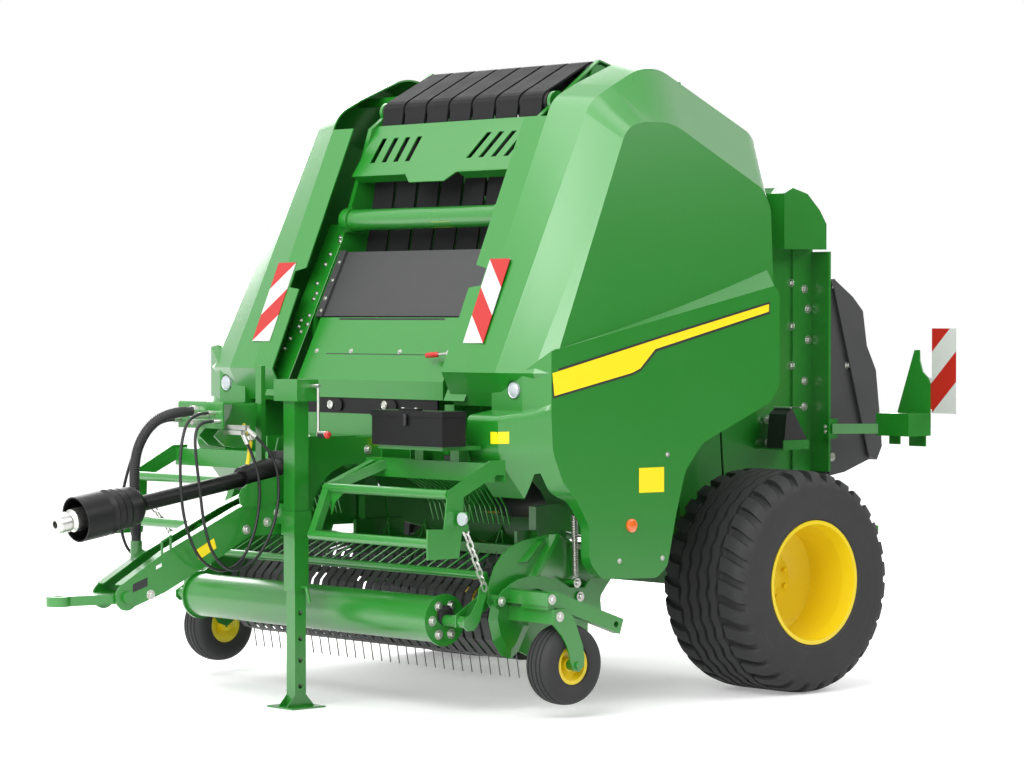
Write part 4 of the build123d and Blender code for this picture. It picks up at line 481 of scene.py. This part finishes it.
def treadDepth(kind, phase, reach, settings):
    # how far the tread at this place lies under the section's own radius
    if kind == 0:
        return settings["grooveDepth"]
    gap = phase < settings["gapPhase"] or phase > 1 - settings["gapPhase"]
    if kind == 2 and gap:
        first, last = settings["lugFade"]
        return settings["lugDepth"] * (1.0 if reach < first else max(0.0, (last - reach) / (last - first)))
    return 0.0


def addTyre(name, node, body, wheel, settings, side):
    low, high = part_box(wheel)
    centre = (low + high) / 2
    half = settings["half"]
    rows = [(-u, radius, kind) for u, radius, kind in half[::-1]] + half[1:]
    count, crown = settings["pitches"], settings["crown"]
    mesh = bmesh.new()
    rings = []
    for u, radius, kind in rows:
        # lugs sweep round as they go out, and the inner shoulder is half a pitch on
        out = min(1.0, max(0.0, (abs(u) - settings["lugStart"]) / settings["lugReach"]))
        sweep = side * math.copysign(1, u) * settings["sweep"] / half[0][1] * out ** 1.5
        halfPitch = 0.25 * (1 - max(-1.0, min(1.0, u / crown)))
        ring = []
        for pitch in range(count):
            for phase in settings["phases"]:
                wave = settings["wave"] * math.sin(2 * math.pi * phase) if abs(u) < settings["waveEnd"] and u else 0.0
                turn = 2 * math.pi * (pitch + phase + halfPitch) / count + sweep
                reach = radius - treadDepth(kind, phase, abs(u), settings)
                ring.append(mesh.verts.new(centre + Vector(((u + wave) * mm, -math.sin(turn) * reach * mm,
                                                            math.cos(turn) * reach * mm))))
        rings.append(ring)
    around = len(rings[0])
    for ringA, ringB in zip(rings, rings[1:] + rings[:1]):
        for k in range(around):
            mesh.faces.new((ringA[k], ringB[k], ringB[(k + 1) % around], ringA[(k + 1) % around]))
    bmesh.ops.recalc_face_normals(mesh, faces=mesh.faces)
    data = bpy.data.meshes.new(name)
    mesh.to_mesh(data)
    mesh.free()
    piece = newObject(name, data)
    smoothByAngle(piece, 38)
    settle(piece, name, body, tyreRubber)
    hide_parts(node)


for side, hand in ((1, "left"), (-1, "right")):
    addTyre(f"driveTyre.{hand}", f"tyre_{hand}", f"wheel_{hand}", f"rim_{hand}", driveTyre, side)
    addTyre(f"gaugeTyre.{hand}", f"gauge_tyre_{hand}", f"gauge_wheel_{hand}", f"gauge_tyre_{hand}", gaugeTyre,
            side)

# stripe, blank labels and reflective boards
print("markings")
sides = ((1, "left", ""), (-1, "right", "Right"))
stripeTable = {
    # name: material, slot, height off the door in metres, outline in mm on the left door
    "stripeEdge": (blackEnamel, "black_paint", 0.0005,
                   [(1280, -1605, 1566), (1280, -1593, 1441), (1280, -1098, 1541), (1280, -1042, 1562),
                    (1280, -944, 1649), (1280, -189, 1824), (1280, -189, 1882), (1280, -944, 1716)]),
    "stripeFace": (labelYellow, "yellow_paint", 0.0010,
                   [(1280, -1597, 1556), (1280, -1585, 1453), (1280, -1100, 1552), (1280, -1048, 1572),
                    (1280, -952, 1660), (1280, -197, 1834), (1280, -197, 1870), (1280, -944, 1705)]),
}
labelTable = {
    # name: node, body, look, material, corners in mm
    "skirtLabel": ("side_door_left", "side_door_left", (-1, 0, 0), labelYellow,
                   [(1280, -1056, 1113), (1280, -895, 1113), (1280, -895, 997), (1280, -1056, 998)]),
    "fenderLabel": ("side_door_left", "side_door_left", (-0.5, 0.86, 0), labelYellow,
                    [(1088, -1797, 1292), (1168, -1756, 1294), (1168, -1756, 1240), (1088, -1797, 1238)]),
    "drawbarLabel": ("drawbar", "frame", (-1, 0, 0), labelYellow,
                     [(95, -2718, 744), (95, -2606, 799), (95, -2592, 753), (95, -2690, 704)]),
    "drawbarPlate": ("drawbar", "frame", (-1, 0, 0), labelWhite,
                     [(95, -2930, 688), (95, -2898, 700), (95, -2898, 684), (95, -2930, 671)]),
    "drawbarDark": ("drawbar", "frame", (-1, 0, 0), blackEnamel,
                    [(95, -3057, 612), (95, -2976, 640), (95, -2976, 600), (95, -3057, 575)]),
    "beamLabel": ("front_frame", "frame", (0, 1, 0), labelYellow,
                  [(40, -1700, 1228), (190, -1700, 1228), (190, -1700, 1196), (40, -1700, 1196)]),
    "windowLabel": ("cross_tube", "frame", (0, 1, 0), labelYellow,
                    [(95, -1560, 2266), (232, -1560, 2266), (222, -1560, 2240), (85, -1560, 2240)]),
}
boardTable = {
    # lower inner corner in mm, the way up the face, a band's width across in metres, the bands' lean
    "bandedRetroreflectiveFront": {"corner": (730, -1650, 1688), "up": (0, 0.395, 0.9187), "band": 0.140, "lean": 1,
                                   "nodes": ("door_board_left", "door_board_right")},
    "bandedRetroreflectiveRear": {"corner": (1155, 1130, 1320), "up": (0, 0, 1), "band": 0.155, "lean": -1,
                                  "nodes": ("rear_boards",)},
}
boardFinish = {"white": "#CDCFCC", "red": "#B81F1A", "cellsPerMetre": 220.0, "cellDepth": 0.0003}

for sign, hand, tail in sides:
    for name, (material, slot, proud, outline) in stripeTable.items():
        skin(name + tail, f"side_door_{hand}", [(sign * x, y, z) for x, y, z in outline], (-sign, 0, 0),
             f"side_door_{hand}", material, proud)
for name, (node, body, look, material, corners) in labelTable.items():
    skin(name, node, corners, look, body, material)


def bandedBoard(name, settings):
    # glass-beaded sheet with red and white bands at 45 degrees, the same on both sides of the machine: the
    # distance in from the board's edge and up its face are added, and every other unit is red
    material, shader = newMaterial(name, {"Roughness": 0.32, "Coat Weight": 0.3, "Coat Roughness": 0.1})
    spot = addNode(material, "ShaderNodeTexCoord")
    parts = addNode(material, "ShaderNodeSeparateXYZ", {0: spot.outputs["Object"]})
    outward = addNode(material, "ShaderNodeMath", {0: parts.outputs["X"]}, operation="ABSOLUTE")
    where = addNode(material, "ShaderNodeCombineXYZ",
                    {"X": outward.outputs[0], "Y": parts.outputs["Y"], "Z": parts.outputs["Z"]})
    axis = Vector((settings["lean"], 0, 0)) + Vector(settings["up"])
    run = addNode(material, "ShaderNodeVectorMath", {0: where.outputs[0], 1: tuple(axis / settings["band"])},
                  operation="DOT_PRODUCT")
    start = place(*settings["corner"]).dot(axis) / settings["band"]
    first = 0.0 if settings["lean"] > 0 else 1.0
    shifted = addNode(material, "ShaderNodeMath", {0: run.outputs["Value"], 1: first - start}, operation="ADD")
    halved = addNode(material, "ShaderNodeMath", {0: shifted.outputs[0], 1: 0.5}, operation="MULTIPLY")
    part = addNode(material, "ShaderNodeMath", {0: halved.outputs[0]}, operation="FRACT")
    odd = addNode(material, "ShaderNodeMath", {0: part.outputs[0], 1: 0.5}, operation="GREATER_THAN")
    colour = addNode(material, "ShaderNodeMix",
                     {0: odd.outputs[0], 6: srgb(boardFinish["white"]), 7: srgb(boardFinish["red"])},
                     data_type="RGBA")
    material.node_tree.links.new(colour.outputs[2], shader.inputs["Base Color"])
    cells = addNode(material, "ShaderNodeTexVoronoi",
                    {"Vector": spot.outputs["Object"], "Scale": boardFinish["cellsPerMetre"]})
    bump = addNode(material, "ShaderNodeBump", {"Height": cells.outputs["Distance"],
                                                "Distance": boardFinish["cellDepth"], "Strength": 0.25})
    material.node_tree.links.new(bump.outputs["Normal"], shader.inputs["Normal"])
    return material


for name, settings in boardTable.items():
    bands = bandedBoard(name, settings)
    for node in settings["nodes"]:
        dress(nodes[node], bands)

# marker lamps and amber reflectors on the side doors
print("lamps")
domeTable = {
    # name: radius, height and lift in metres, start in mm and look on the left door, material
    "markerLamps": (0.036, 0.016, -0.004, (1084, -1760, 1477), (0, 1, 0), lensClear),
    "sideReflector": (0.031, 0.009, 0.0, (1400, -1106, 850), (-1, 0, 0), lensAmber),
}
for name, (radius, height, lift, (x, y, z), look, material) in domeTable.items():
    seed = domeSeed(radius, height)
    for sign, hand, tail in sides:
        scatter(name + tail, seed, [(f"side_door_{hand}", (sign * x, y, z), (sign * look[0], look[1], look[2]))],
                f"side_door_{hand}", material, lift)
    bpy.data.objects.remove(seed)

# front strips of the chamber walls on the line of the hood, and their bolts
print("wall strips")
stripSet = {"y": -1561, "z": 1634, "slope": 0.49, "inner": 609, "outer": 752, "low": 1420, "high": 2270, "thick": 4}
stripBolts = [(632, 2205), (660, 2120), (668, 2070), (676, 1975), (650, 1925), (655, 1897), (640, 1815),
              (690, 1790), (690, 1760), (660, 1735), (628, 1772), (622, 2185), (722, 1700), (735, 1650)]


def stripPoint(x, z, forward=0):
    return (x, stripSet["y"] + (z - stripSet["z"]) * stripSet["slope"] - forward, z)


for sign, hand in ((1, "Left"), (-1, "Right")):
    inner, outer = sign * stripSet["inner"], sign * stripSet["outer"]
    platePiece(f"wallStrip{hand}", [stripPoint(inner, stripSet["low"]), stripPoint(outer, stripSet["low"]),
                                    stripPoint(outer, stripSet["high"]), stripPoint(inner, stripSet["high"])],
               stripSet["thick"], "frame", greenEnamel)
# sheet that closes the right wall's opening over the pickup's end
platePiece("wallShieldRight", [(-677, -1506, 770), (-677, -1004, 770), (-677, -1004, 1084), (-677, -1506, 1084)], 3,
           "frame", greenEnamel)

# bolts
print("bolts")
bolts = {"small": boltSeed(0.013, 0.006), "large": boltSeed(0.024, 0.012)}  # across flats and height, metres
frontBolts = {
    # name: bolt, node, look, starts in mm
    "windowBolts": ("small", "window_board", (0, 1, 0),
                    [(x, -1700, z) for x in (582, -582) for z in (2080, 1990, 1900, 1840)]),
    "hoodBolts": ("small", "front_hood", (0, 1, 0), [(x, -1800, 1643) for x in (-480, -213, 155, 540)]),
    "drawbarBolts": ("large", "drawbar", (-1, 0, 0),
                     [(500, -2300, 860), (500, -2240, 900), (500, -2120, 980), (500, -1700, 1180),
                      (500, -1700, 1100), (500, -2960, 560), (500, -2420, 830)]),
    "frameBolts": ("small", "front_frame", (0, 1, 0),
                   [(x, -1900, z) for x in (-520, -470, 300, 350, 520) for z in (1190, 1222)]),
}
sideBolts = {
    # name: bolt, node, body, look and starts in mm on the left, mirrored to the right
    "pickupBolts": ("large", "pickup_frame", "pickup", (-1, 0, 0),
                    [(1500, -1768, 528), (1500, -1286, 523), (1500, -1306, 587), (1500, -1690, 548),
                     (1500, -1655, 470)]),
    "doorBolts": ("small", "side_door_{hand}", "side_door_{hand}", (-1, 0, 0),
                  [(1500, -872, 1170), (1500, -1180, 690), (1500, -905, 690)]),
    "tailgateBolts": ("large", "tailgate_frame", "tailgate", (-1, 0, 0),
                      [(1100, 766, 1848), (1100, 767, 1690), (1100, 740, 1950), (1100, 742, 1480),
                       (1100, 740, 1350)]),
    "tailgateFrontBolts": ("large", "tailgate_frame", "tailgate", (0, 1, 0),
                           [(616, 300, 1981), (637, 300, 1290), (644, 300, 1173), (620, 300, 1560),
                            (620, 300, 1760)]),
    "bracketBolts": ("small", "light_brackets", "tailgate", (0, 1, 0), [(774, 500, 1225), (774, 500, 1250)]),
    "coverBolts": ("large", "net_box", "tailgate", (-1, 0, 0), [(1100, 842, 1092), (1100, 960, 1560)]),
}
rollerSet = {"x": 1060, "y": -1930, "bearingZ": 462, "boltZ": 440, "boltCircle": 74, "bolts": 6}

frames = [onNormal(place(*stripPoint(sign * x, z, 2)), (0, -1, stripSet["slope"]))
          for sign in (-1, 1) for x, z in stripBolts]
settle(joinCopies(bolts["small"], frames), "stripBolts", "frame", zincSteel)
for name, (bolt, node, look, starts) in frontBolts.items():
    scatter(name, bolts[bolt], [(node, start, look) for start in starts], "frame", zincSteel)
for sign, hand, _ in sides:
    for name, (bolt, node, body, look, starts) in sideBolts.items():
        places = [(node.format(hand=hand), (sign * x, y, z), (sign * look[0], look[1], look[2]))
                  for x, y, z in starts]
        scatter(name + hand.capitalize(), bolts[bolt], places, body.format(hand=hand), zincSteel)

# windguard roller's bearings in a ring of bolts
cap = domeSeed(0.046, 0.010)
for sign, hand in ((1, "Left"), (-1, "Right")):
    end, roller = sign * rollerSet["x"], "windguard_roller"
    scatter(f"rollerBearing{hand}", cap, [(roller, (end, rollerSet["y"], rollerSet["bearingZ"]), (-sign, 0, 0))],
            roller, blackPlastic)
    turns = [2 * math.pi * k / rollerSet["bolts"] for k in range(rollerSet["bolts"])]
    ring = [(end, rollerSet["y"] + rollerSet["boltCircle"] * math.cos(turn),
             rollerSet["boltZ"] + rollerSet["boltCircle"] * math.sin(turn)) for turn in turns]
    scatter(f"rollerBolts{hand}", bolts["large"], [(roller, start, (-sign, 0, 0)) for start in ring], roller,
            zincSteel)
for seed in (cap, *bolts.values()):
    bpy.data.objects.remove(seed)

# seam and lip of the hood, discs of the sensor strip, rivets of the toolbox grip
print("hood and toolbox fittings")
hoodLines = {
    # name: height of its lower and upper edge (mm), height off the hood in metres, material, slot
    "hoodSeam": (1628, 1632, 0.0004, blackEnamel, "black_paint"),
    "hoodLip": (1794, 1803, 0.0006, blackPlastic, "black_plastic"),
}
roundTable = {
    # name: radius and height in metres, node, body, look, starts in mm
    "stripDiscs": (0.021, 0.007, "sensor_strip", "frame", (0, 1, 0), [(-295, -1900, 1385), (116, -1900, 1390)]),
    "boxRivets": (0.008, 0.004, "toolbox_lid", "toolbox_lid", (0, 0, -1), [(768, -2043, 1600), (858, -2043, 1600)]),
}
for name, (low, high, proud, material, slot) in hoodLines.items():
    corners = [(-596, -1700, high), (596, -1700, high), (596, -1700, low), (-596, -1700, low)]
    skin(name, "front_hood", corners, (0, 1, 0), "frame", material, proud, 0.2)
for name, (radius, height, node, body, look, starts) in roundTable.items():
    seed = domeSeed(radius, height)
    scatter(name, seed, [(node, start, look) for start in starts], body, zincSteel)
    bpy.data.objects.remove(seed)

# round fittings: toolbox latch, crank's grip and knob, hood latch, valve on the drawbar, chock straps
print("round fittings")
rodTable = {
    # name: start and end in mm, radius in mm, body, material, slot
    "boxLatch": ((813, -2069, 1318), (813, -2069, 1372), 9, "frame", blackPlastic, "black_plastic"),
    "crankGrip": ((318, -2170, 1268), (368, -2170, 1268), 15, "frame", blackPlastic, "black_plastic"),
    "latchRod": ((500, -1610, 1634), (596, -1606, 1640), 6, "frame", zincSteel, "steel"),
    "latchPivot": ((588, -1572, 1640), (588, -1624, 1640), 15, "frame", zincSteel, "steel"),
    "valveBody": ((64, -2396, 1262), (118, -2396, 1262), 22, "frame", zincSteel, "steel"),
    "valveLever": ((96, -2438, 1318), (96, -2392, 1240), 8, "frame", yellowEnamel, "yellow_paint"),
    "valveBoot": ((96, -2396, 1238), (96, -2415, 1130), 9, "frame", yellowEnamel, "yellow_paint"),
    "chockStrap452": ((688, 452, 1352), (812, 452, 1352), 4, "tailgate", zincSteel, "steel"),
    "chockStrap520": ((688, 520, 1352), (812, 520, 1352), 4, "tailgate", zincSteel, "steel"),
}
gripTable = {
    # red grips with rounded ends, in the same order
    "crankKnob": ((366, -2170, 1268), (392, -2170, 1268), 18, "frame", redEnamel, "black_plastic"),
    "latchGrip": ((418, -1612, 1628), (506, -1610, 1634), 13, "frame", redEnamel, "black_plastic"),
}
for name, settings in rodTable.items():
    rodPiece(name, *settings)
for name, settings in gripTable.items():
    rodPiece(name, *settings, sides=24, ends=0.8)

# ribs of the corrugated conduit
print("conduit ribs")
ribSet = {"pitch": 0.0088, "major": 0.0212, "minor": 0.0034, "bareEnd": 0.03}  # metres


def ribsAlong(name, hose):
    plain = hose.data.copy()
    plain.bevel_depth = 0.0
    carrier = bpy.data.objects.new("conduitLine", plain)
    line = bpy.data.meshes.new_from_object(carrier)
    points = [v.co.copy() for v in line.vertices]
    deselect()
    bpy.ops.mesh.primitive_torus_add(major_segments=28, minor_segments=8, major_radius=ribSet["major"],
                                     minor_radius=ribSet["minor"])
    seed = bpy.context.object
    frames, walked, wanted = [], 0.0, ribSet["bareEnd"]
    last = sum((b - a).length for a, b in zip(points, points[1:])) - ribSet["bareEnd"]
    for a, b in zip(points, points[1:]):
        stretch = (b - a).length
        while walked + stretch > wanted and wanted < last:
            frames.append(onNormal(a.lerp(b, (wanted - walked) / stretch), b - a))
            wanted += ribSet["pitch"]
        walked += stretch
    ribs = joinCopies(seed, frames)
    bpy.data.objects.remove(seed)
    bpy.data.objects.remove(carrier)
    bpy.data.meshes.remove(line)
    bpy.data.curves.remove(plain)
    return settle(ribs, name, "frame", blackPlastic)


ribs = ribsAlong("conduitRibs", cords["cableConduit"])

# floor, background and light
print("studio")
floorSet = {"size": 60.0, "grey": 0.86, "nearLift": 0.31, "farLift": 0.72, "near": 3.0, "far": 11.0}
worldSet = {"ambient": 0.44, "backdrop": 1.0}
# dark card beyond the machine's left rear, which keeps the side panels' green deep
cardSet = {"place": (6.2, 5.6, 1.6), "turn": -48, "width": 9.0, "height": 4.4, "grey": 0.02}
lampTable = {
    # name: direction towards the lamp, distance, width and height in metres, watts
    "frontSoftbox": ((0.25, -0.75, 0.50), 13.0, 13.0, 8.0, 1750),
    "topSoftbox": ((-0.15, -0.25, 1.0), 8.0, 6.0, 8.0, 330),
    "rearFill": ((-0.72, 0.55, 0.38), 10.0, 10.0, 7.0, 950),
    "sideSoftbox": ((0.68, 0.51, 0.50), 10.0, 8.0, 3.5, 300),
}
lampCentre = Vector((0, 0, 1.3))


def grey(level):
    return (level, level, level, 1.0)


def seenDirectly(owner):
    # one where the camera sees it, also in metal and through glass, and nought for the light it gives
    path = addNode(owner, "ShaderNodeLightPath")
    seen = addNode(owner, "ShaderNodeMath", {0: path.outputs["Is Camera Ray"], 1: path.outputs["Is Glossy Ray"]},
                   operation="MAXIMUM")
    through = addNode(owner, "ShaderNodeMath", {0: seen.outputs[0], 1: path.outputs["Is Transmission Ray"]},
                      operation="MAXIMUM")
    return through.outputs[0]


def addFloor():
    # pale matt floor, lifted towards white with the distance so that it runs into the background
    bpy.ops.mesh.primitive_plane_add(size=floorSet["size"], location=(0, 0, 0))
    floor = bpy.context.object
    floor.name = "studioFloor"
    material, shader = newMaterial("paleStudioFloor", {"Base Color": grey(floorSet["grey"]), "Roughness": 0.9,
                                                       "Specular IOR Level": 0.1, "Emission Color": grey(1.0)})
    seen = seenDirectly(material)
    spot = addNode(material, "ShaderNodeTexCoord")
    away = addNode(material, "ShaderNodeVectorMath", {0: spot.outputs["Object"]}, operation="LENGTH")
    level = addNode(material, "ShaderNodeMapRange",
                    {"Value": away.outputs["Value"], "From Min": floorSet["near"], "From Max": floorSet["far"],
                     "To Min": floorSet["nearLift"], "To Max": floorSet["farLift"]})
    lift = addNode(material, "ShaderNodeMath", {0: seen, 1: level.outputs["Result"]}, operation="MULTIPLY")
    material.node_tree.links.new(lift.outputs[0], shader.inputs["Emission Strength"])
    dress(floor, material)


def addCard():
    deselect()
    bpy.ops.mesh.primitive_plane_add(size=1, location=cardSet["place"],
                                     rotation=(math.radians(90), 0, math.radians(cardSet["turn"])))
    card = bpy.context.object
    card.name = "darkCard"
    card.scale = (cardSet["width"], cardSet["height"], 1)
    card.visible_camera = False
    material, shader = newMaterial("blackStudioCard", {"Base Color": grey(cardSet["grey"]), "Roughness": 0.9})
    dress(card, material)


def addWorld():
    world = bpy.data.worlds.new("whiteStudio")
    world.use_nodes = True
    bpy.context.scene.world = world
    background = world.node_tree.nodes["Background"]
    background.inputs["Color"].default_value = grey(1.0)
    level = addNode(world, "ShaderNodeMapRange", {"Value": seenDirectly(world), "To Min": worldSet["ambient"],
                                                  "To Max": worldSet["backdrop"]})
    world.node_tree.links.new(level.outputs["Result"], background.inputs["Strength"])


def addLamp(name, direction, distance, width, height, watts):
    data = bpy.data.lights.new(name, "AREA")
    data.shape = "RECTANGLE"
    data.size, data.size_y, data.energy = width, height, watts
    lamp = newObject(name, data)
    lamp.location = lampCentre + Vector(direction).normalized() * distance
    lamp.rotation_euler = Vector(direction).to_track_quat("Z", "Y").to_euler()


addFloor()
addCard()
addWorld()
for name, settings in lampTable.items():
    addLamp(name, *settings)
